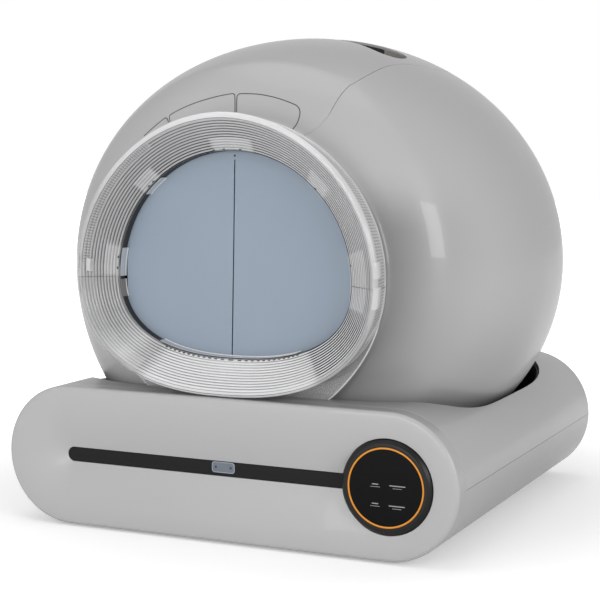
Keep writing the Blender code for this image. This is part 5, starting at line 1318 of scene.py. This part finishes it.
def ring_marks(section):
    """The groove marks and the painted light of every point of the ring, ring by ring."""
    grooves, lights = [], []
    for depth, along, mark, lip, place in section:
        groove_ring, light_ring = [], []
        for angle in angles(RING_STEPS):
            degrees = math.degrees(angle) % 360
            smooth = window_share(degrees, place)
            # Painted highlight: bright streaks across the ribs
            highlight_streak = sum(height * math.exp(-((degrees - middle) / width) ** 2)
                         for middle, width, height in HIGHLIGHT_STREAKS)
            # Painted light: the lightness of ribs and lip changes round the ring as the lamps fall on them,
            # and rises in the windows
            light = ring_tone(degrees, 1) * (1 - lip) + ring_tone(degrees, 3) * lip
            light_ring.append(min(BRIGHTEST, light + WINDOW_PAINTED_LIGHT * smooth + (highlight_streak if place else 0.0)))
            # Painted shade: dark lines in the grooves, as deep as the table gives
            lines = ring_tone(degrees, 4 if lip > 0.9 else 2) * (1 - WINDOW_FADE * smooth)
            lines *= 1 - max(0.0, 1 - abs(degrees - LOW_PLACE) / LOW_REACH) * (0.9 * place - 0.1)
            if within(degrees, FAINT_RIBS):
                lines *= 0.35 if place < 0.3 else 0.8
            if lip == MOUTH_EDGE and any(within(degrees, span) for span in EDGE_LINES):
                lines, mark = 1.0, 0.9
            broad = mark ** 0.4 if mark > 0 and within(degrees, BROAD_GROOVES) else mark
            if within(degrees, KNURLED_RIBS) and 0.0 < place < 0.17:
                broad = -0.9
            groove_ring.append(broad if broad <= 0 else broad * lines)
        grooves.append(groove_ring)
        lights.append(light_ring)
    return {"groove": grooves, "light": lights}


class LITTER_OT_ring(bpy.types.Operator):
    """Build the clear ribbed entrance ring in two halves, with its foot and the foot's bead"""

    bl_idname = "litter.ring"
    bl_label = "Entrance ring"

    def execute(self, context):
        ring = context.scene.litter_ring
        section = ring_section(ring.ribs, ring.rib_round)
        marks = ring_marks(section)
        clear = clear_plastic("ring_clear", 0.62)
        for name, node, sign in (("ring_upper_skin", "entrance_ring_upper", 1),
                                 ("ring_lower_skin", "entrance_ring_lower", -1)):
            bm = skin([at_y(ring_outline(entry[0]), entry[1]) for entry in section], closed=True, marks=marks)
            sides = bmesh.ops.bisect_plane(
                bm, geom=bm.verts[:] + bm.edges[:] + bm.faces[:], dist=0.00001,
                plane_co=(0, 0, RING_SPLIT_Z + sign * FIT), plane_no=(0, 0, -sign), clear_outer=True)
            edges = [part for part in sides["geom_cut"] if isinstance(part, bmesh.types.BMEdge)]
            bmesh.ops.holes_fill(bm, edges=edges, sides=0)
            bmesh.ops.recalc_face_normals(bm, faces=bm.faces)
            build(name, bm, clear, "base", "clear", node, sharp=CLEAR_SHARP)
        radius, middle_z = base_place()[:2]
        deck = middle_z + radius + FIT
        side = []
        for part in range(FOOT_STEPS + 1):
            rise = part / FOOT_STEPS
            flare = 1 - (1 - rise) ** FOOT_BEND
            side.append((FOOT_HALF_WIDTH + (FOOT_TOP_HALF_WIDTH - FOOT_HALF_WIDTH) * flare,
                         deck + (FOOT_TOP_Z - deck) * rise))
        outline = side + [(-across, up) for across, up in reversed(side)]
        foot = prism(outline, RING_BACK_Y - RING_SKIN, RING_BACK_Y - FOOT_SETBACK, True)
        inside = prism(ring_outline(RING_BACK_INSET + FOOT_GAP), RING_TOOL_FRONT_Y, RING_TOOL_REAR_Y, True)
        build("ring_foot_skin", foot, clear_plastic("foot_clear", 0.30, light=0.50), "base", "clear",
              cuts=[(CUT, inside)])
        # The bead's pale clear finish also paints the highlight along the foot's edge
        bead = bmesh.new()
        for sign in (-1, 1):
            loops = []
            for (across, up), (ahead, over) in zip(side, side[1:]):
                way = Vector((ahead - across, over - up)).normalized()
                out = Vector((way[1], -way[0]))
                loops.append([(sign * (across + out[0] * BEAD_RADIUS * cos(turn)),
                               RING_BACK_Y - BEAD_SETBACK + BEAD_HALF_DEPTH * sin(turn),
                               max(up + out[1] * BEAD_RADIUS * cos(turn), deck)) for turn in angles(8)])
            skin(loops, bm=bead)
        build("ring_foot_bead", bead, clear_plastic("bead_clear", 0.80, light=0.85), "base", "clear",
              sharp=CLEAR_SHARP)
        return {"FINISHED"}


class LITTER_OT_clips(bpy.types.Operator):
    """Build the two saddle clips over the joint of the ring"""

    bl_idname = "litter.clips"
    bl_label = "Ring clips"

    def execute(self, context):
        bright = clear_plastic("clip_clear", 0.72, 0.15, light=0.66)
        for name, lengths in CLIPS.items():
            bm = bmesh.new()
            for start, stop in lengths:
                loops = []
                for part in range(CLIP_STEPS + 1):
                    angle = radians(start + (stop - start) * part / CLIP_STEPS)
                    ease = min(1.0, 4.0 * min(part, CLIP_STEPS - part) / CLIP_STEPS + 0.3)
                    thick = CLIP_EDGE + CLIP_SWELL * sqrt(1 - (1 - ease) ** 2)
                    reach = RING_LIP_RADIUS + thick
                    loop = [(RING_LIP_RADIUS - reach * cos(turn), RING_LIP_Y + reach * sin(turn))
                            for turn in map(radians, CLIP_TURNS)]
                    loop += [(RING_BACK_INSET * 0.30 - thick, RING_LIP_Y + 0.012),
                             (RING_BACK_INSET * 0.42 - thick * 0.6, RING_LIP_Y + 0.016),
                             (RING_BACK_INSET * 0.42 + 0.0004, RING_LIP_Y + 0.016),
                             (0.0006, RING_LIP_Y + 0.001),
                             (RING_LIP_RADIUS * 0.8, RING_LIP_Y - RING_LIP_RADIUS + 0.0006)]
                    spots = [(ring_point(angle, depth), along) for depth, along in loop]
                    loops.append([(across, along, up) for (across, up), along in spots])
                skin(loops, bm=bm)
            if name == "left":
                arc_band(bm, *CLIP_TAB, *[RING_LIP_Y + reach for reach in CLIP_TAB_REACH])
            build(f"clip_{name}_skin", bm, bright, "base", "clear", f"ring_clip_{name}", sharp=CLEAR_SHARP)
        return {"FINISHED"}


class LITTER_OT_gasket(bpy.types.Operator):
    """Build the dark gasket inside the mouth and the clear tabs between its lengths"""

    bl_idname = "litter.gasket"
    bl_label = "Gasket"

    def execute(self, context):
        low, high = RING_WIDTH - 0.0018, RING_WIDTH + 0.0008
        front, back = RING_MOUTH_Y + 0.0033, GASKET_BACK_Y
        section = [(high - 0.0004, front), (high, front + 0.0004), (high, back), (low, back), (low, front)]
        band = skin([at_y(ring_outline(depth), along) for depth, along in section], closed=True)
        build("gasket_skin", band, rubber_finish(), "base", "rubber_black", "curtain_gasket")

        def bands(places, limits, parts=None):
            bm = bmesh.new()
            for middle, half in places:
                arc_band(bm, middle, half, *limits, parts)
            return bm

        inner = (high + 0.0003, high + 0.0012, front - 0.002, back + 0.0003)
        build("mouth_tabs", bands(MOUTH_TABS, inner),
              clear_plastic("tab_clear", 0.60, 0.15, light=0.55, cast=(0.93, 0.98, 1.06)), "base", "clear")
        build("mouth_insert", bands((GREY_INSERT,), inner),
              moulded("insert_warm_grey", (0.17, 0.155, 0.15), 0.4, 0.06), "base", "dark_plastic")
        # White bands along the tabs and the insert: a painted highlight on their clear edges
        edges = bands(MOUTH_TABS + (GREY_INSERT,),
                      (high + 0.0012, high + 0.0020, back - 0.0006, back + 0.0003))
        white = moulded("edge_white", (0.72, 0.72, 0.72), 0.3, 0.04)
        build("mouth_tab_edges", edges, white, "base", "clear")
        first, last, count = LUG_ROW
        row = tuple(first + (last - first) * part / count for part in range(count + 1))
        lugs = bands([(middle, LUG_HALF) for middle in LUG_ANGLES + row],
                     (RING_WIDTH - 0.0026, RING_WIDTH - 0.0008, RING_MOUTH_Y - 0.0022,
                      RING_MOUTH_Y - 0.0006), 2)
        dark = moulded("lug_dark", (0.035, 0.035, 0.038), 0.4, 0.05)
        build("mouth_lugs", lugs, dark, "base", "rubber_black")
        return {"FINISHED"}


def curtain_edge(across, upper, margin):
    """Height of the mouth's edge at a place across it, less a margin."""
    half_width, wide_z, top_z, bottom_z, low_exponent, high_exponent = MOUTH_OUTLINE
    share = min(abs(across) / half_width, 0.9999)
    if upper:
        return wide_z + (top_z - wide_z) * (1 - share ** high_exponent) ** (1 / high_exponent) - margin
    return wide_z - (wide_z - bottom_z) * (1 - share ** low_exponent) ** (1 / low_exponent) + margin


class LITTER_OT_curtain(bpy.types.Operator):
    """Build the two halves of the slit curtain and the strip that they hang from"""

    bl_idname = "litter.curtain"
    bl_label = "Curtain"

    def execute(self, context):
        curtain = context.scene.litter_curtain
        cloth, tree, shader = new_finish("curtain_sheet", Roughness=0.55, Sheen_Weight=0.15)
        weave = effect(tree, woven_cloth, {
            "Colour": (*curtain.colour, 1.0), "Threads": 2 * pi / THREAD_PITCH})
        wire(tree, shader, {
            "Base Color": weave["Colour"], "Normal": bumped(tree, weave["Height"], 0.12, 0.0001)})
        front = CURTAIN_FRONT_Y
        back = front + curtain.thickness
        outer = CURTAIN_HALF_WIDTH
        for name, side, body in (("left", -1, "left_flap"), ("right", 1, "right_flap")):
            rings = []
            for column in range(CURTAIN_COLUMNS + 1):
                share = column / CURTAIN_COLUMNS
                loop = []
                for level in (front, back):
                    for row in range(CURTAIN_ROWS + 1):
                        drop = row / CURTAIN_ROWS if level == front else 1 - row / CURTAIN_ROWS
                        edge = SLIT_TOP_X + (SLIT_BOTTOM_X - SLIT_TOP_X) * drop
                        inner = side * edge + curtain.slit / 2
                        across = inner + (outer - inner) * share
                        top = curtain_edge(across, True, CURTAIN_TOP_DROP)
                        up = top + (curtain_edge(across, False, CURTAIN_BOTTOM_GAP) - top) * drop
                        wave = CURTAIN_WAVE * sin(9 * across / outer + 3 * drop) * sin(pi * drop)
                        loop.append((side * across, level + wave * (1 - share), up))
                rings.append(loop)
            sheet = make_piece(f"curtain_{name}_sheet", skin(rings), cloth)
            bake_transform(sheet)
            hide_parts(f"curtain_{name}")
        row = [-outer + 2 * outer * part / HANGER_STEPS for part in range(HANGER_STEPS + 1)]
        points = [(across, curtain_edge(across, True, CURTAIN_TOP_DROP - 0.00004)) for across in row]
        row = [outer - 2 * outer * part / HANGER_STEPS for part in range(HANGER_STEPS + 1)]
        points += [(across, max(curtain_edge(across, True, -HANGER_DROP),
                                curtain_edge(across, True, CURTAIN_TOP_DROP - 0.001))) for across in row]
        build("curtain_hanger", prism(points, front, back, True), cloth, "base", "curtain_blue",
              "curtain_margin")
        # A dark disc of painted shade stands for the relief hole and the dark inside behind it
        relief = turned([(radius, front + behind) for radius, behind in SLIT_RELIEF],
                        (SLIT_TOP_X, 0, curtain_edge(0, True, CURTAIN_TOP_DROP - RELIEF_RISE)), 24)
        dark = moulded("relief_dark", (0.02, 0.022, 0.026), 0.6, 0.02)
        build("slit_relief", relief, dark, "base", "rubber_black")
        return {"FINISHED"}


class LITTER_OT_frame_finishes(bpy.types.Operator):
    """Give the frame's own pieces their finishes"""

    bl_idname = "litter.frame_finishes"
    bl_label = "Inner pieces"

    def execute(self, context):
        for finish, names in (
            (shell_finish(), ("front_bulkhead",)),
            (dark_finish(), ("power_inlet",)),
            (rubber_finish(), ("foot_front_left", "foot_front_right", "foot_rear_left", "foot_rear_right",
                               "drum_port_trim", "drum_roller_left", "drum_roller_right")),
            (steel_finish(), ("pinion_shaft", "drum_spindle", "roller_pin_left", "roller_pin_right",
                              "gear_motor", "motor_bracket")),
            (moulded("bin_dark_grey", (0.10, 0.10, 0.11), 0.5, 0.06), ("waste_bin", "bag_ring")),
            (moulded("drum_mid_grey", (0.21, 0.22, 0.23), 0.42, 0.05),
             ("drum_front_shell", "drum_rear_shell", "litter_sieve")),
            (moulded("nylon_moulded", (0.66, 0.66, 0.63), 0.42, 0.05),
             ("drawer_runner_left", "drawer_runner_right", "drum_ring_gear", "drive_pinion", "hub_bush")),
            (moulded("board_fibre", (0.02, 0.15, 0.06), 0.4, 0.1, grain=500.0), ("control_board",)),
        ):
            for node in names:
                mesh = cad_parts[node].data
                mesh.materials.clear()
                mesh.materials.append(finish)
        return {"FINISHED"}


def seen_rays(tree):
    """1 for the rays that show the background: from the camera, a glossy face or a clear one."""
    path = add(tree, "LightPath").outputs
    glossy = sum_of(tree, "MAXIMUM", path["Is Camera Ray"], path["Is Glossy Ray"])
    return sum_of(tree, "MAXIMUM", glossy, path["Is Transmission Ray"])


class LITTER_OT_stage(bpy.types.Operator):
    """Set the floor, the lamps, the even light and the camera"""

    bl_idname = "litter.stage"
    bl_label = "Stage"

    def execute(self, context):
        stage = context.scene.litter_stage
        scene = context.scene
        bm = bmesh.new()
        bmesh.ops.create_grid(bm, x_segments=1, y_segments=1, size=FLOOR_REACH)
        finish, tree, shader = new_finish("floor_white", Base_Color=(0.86, 0.86, 0.86), Roughness=0.9)
        far = add(tree, "VectorMath", {0: own_place(tree)[0]}, operation="LENGTH").outputs["Value"]
        glow = sum_of(tree, "MULTIPLY", seen_rays(tree), ramp(tree, far, 0.35, 1.0, 0.30, 0.85))
        wire(tree, shader, {"Emission Color": (1, 1, 1, 1), "Emission Strength": glow})
        make_piece("floor", bm, finish)
        world = bpy.data.worlds.new("even light")
        world.use_nodes = True
        scene.world = world
        tree = world.node_tree
        strength = sum_of(tree, "MULTIPLY_ADD", seen_rays(tree), 1.0 - stage.world_light, stage.world_light,
                          clamp=True)
        wire(tree, tree.nodes["Background"], {"Color": (1.0, 1.0, 1.0, 1.0), "Strength": strength})
        for name, place, aim, size in LAMPS:
            lamp = bpy.data.lights.new(f"{name}_lamp", "AREA")
            lamp.energy = getattr(stage, name)
            lamp.size = size
            made = bpy.data.objects.new(f"{name}_lamp", lamp)
            scene.collection.objects.link(made)
            made.location = place
            made.rotation_euler = (Vector(aim) - Vector(place)).to_track_quat("-Z", "Y").to_euler()
        across, upward, ahead = view_axes(stage)
        lens = bpy.data.cameras.new("camera")
        lens.lens = stage.lens
        lens.sensor_width = SENSOR_WIDTH
        lens.clip_end = VIEW_REACH
        camera = bpy.data.objects.new("camera", lens)
        scene.collection.objects.link(camera)
        facing = Matrix((across, upward, -ahead)).transposed().to_4x4()
        camera.matrix_world = Matrix.Translation(Vector(stage.place)) @ facing
        scene.camera = camera
        scene.view_settings.view_transform = "Standard"
        return {"FINISHED"}


OPERATORS = (
    LITTER_OT_base_shells, LITTER_OT_tray, LITTER_OT_drawer_front, LITTER_OT_pull_tab, LITTER_OT_pod,
    LITTER_OT_globe, LITTER_OT_panels, LITTER_OT_rear_cover, LITTER_OT_ring, LITTER_OT_clips,
    LITTER_OT_gasket, LITTER_OT_curtain, LITTER_OT_frame_finishes, LITTER_OT_stage,
)


class LITTER_PT_panel(bpy.types.Panel):
    """Lists the steps that build the litter box"""

    bl_idname = "LITTER_PT_panel"
    bl_label = "Litter box"
    bl_space_type = "VIEW_3D"
    bl_region_type = "UI"
    bl_category = "Litter box"

    def draw(self, context):
        for operator in OPERATORS:
            self.layout.operator(operator.bl_idname)


def register():
    """Register the settings, the steps and the panel."""
    for name, settings in SETTINGS.items():
        bpy.utils.register_class(settings)
        setattr(bpy.types.Scene, name, PointerProperty(type=settings))
    for operator in OPERATORS:
        bpy.utils.register_class(operator)
    bpy.utils.register_class(LITTER_PT_panel)


def unregister():
    """Take back what register adds."""
    bpy.utils.unregister_class(LITTER_PT_panel)
    for operator in reversed(OPERATORS):
        bpy.utils.unregister_class(operator)
    for name, settings in SETTINGS.items():
        delattr(bpy.types.Scene, name)
        bpy.utils.unregister_class(settings)


def main():
    """Build every piece in order."""
    register()
    for operator in OPERATORS:
        group, step = operator.bl_idname.split(".")
        getattr(getattr(bpy.ops, group), step)()


if __name__ == "__main__":
    main()
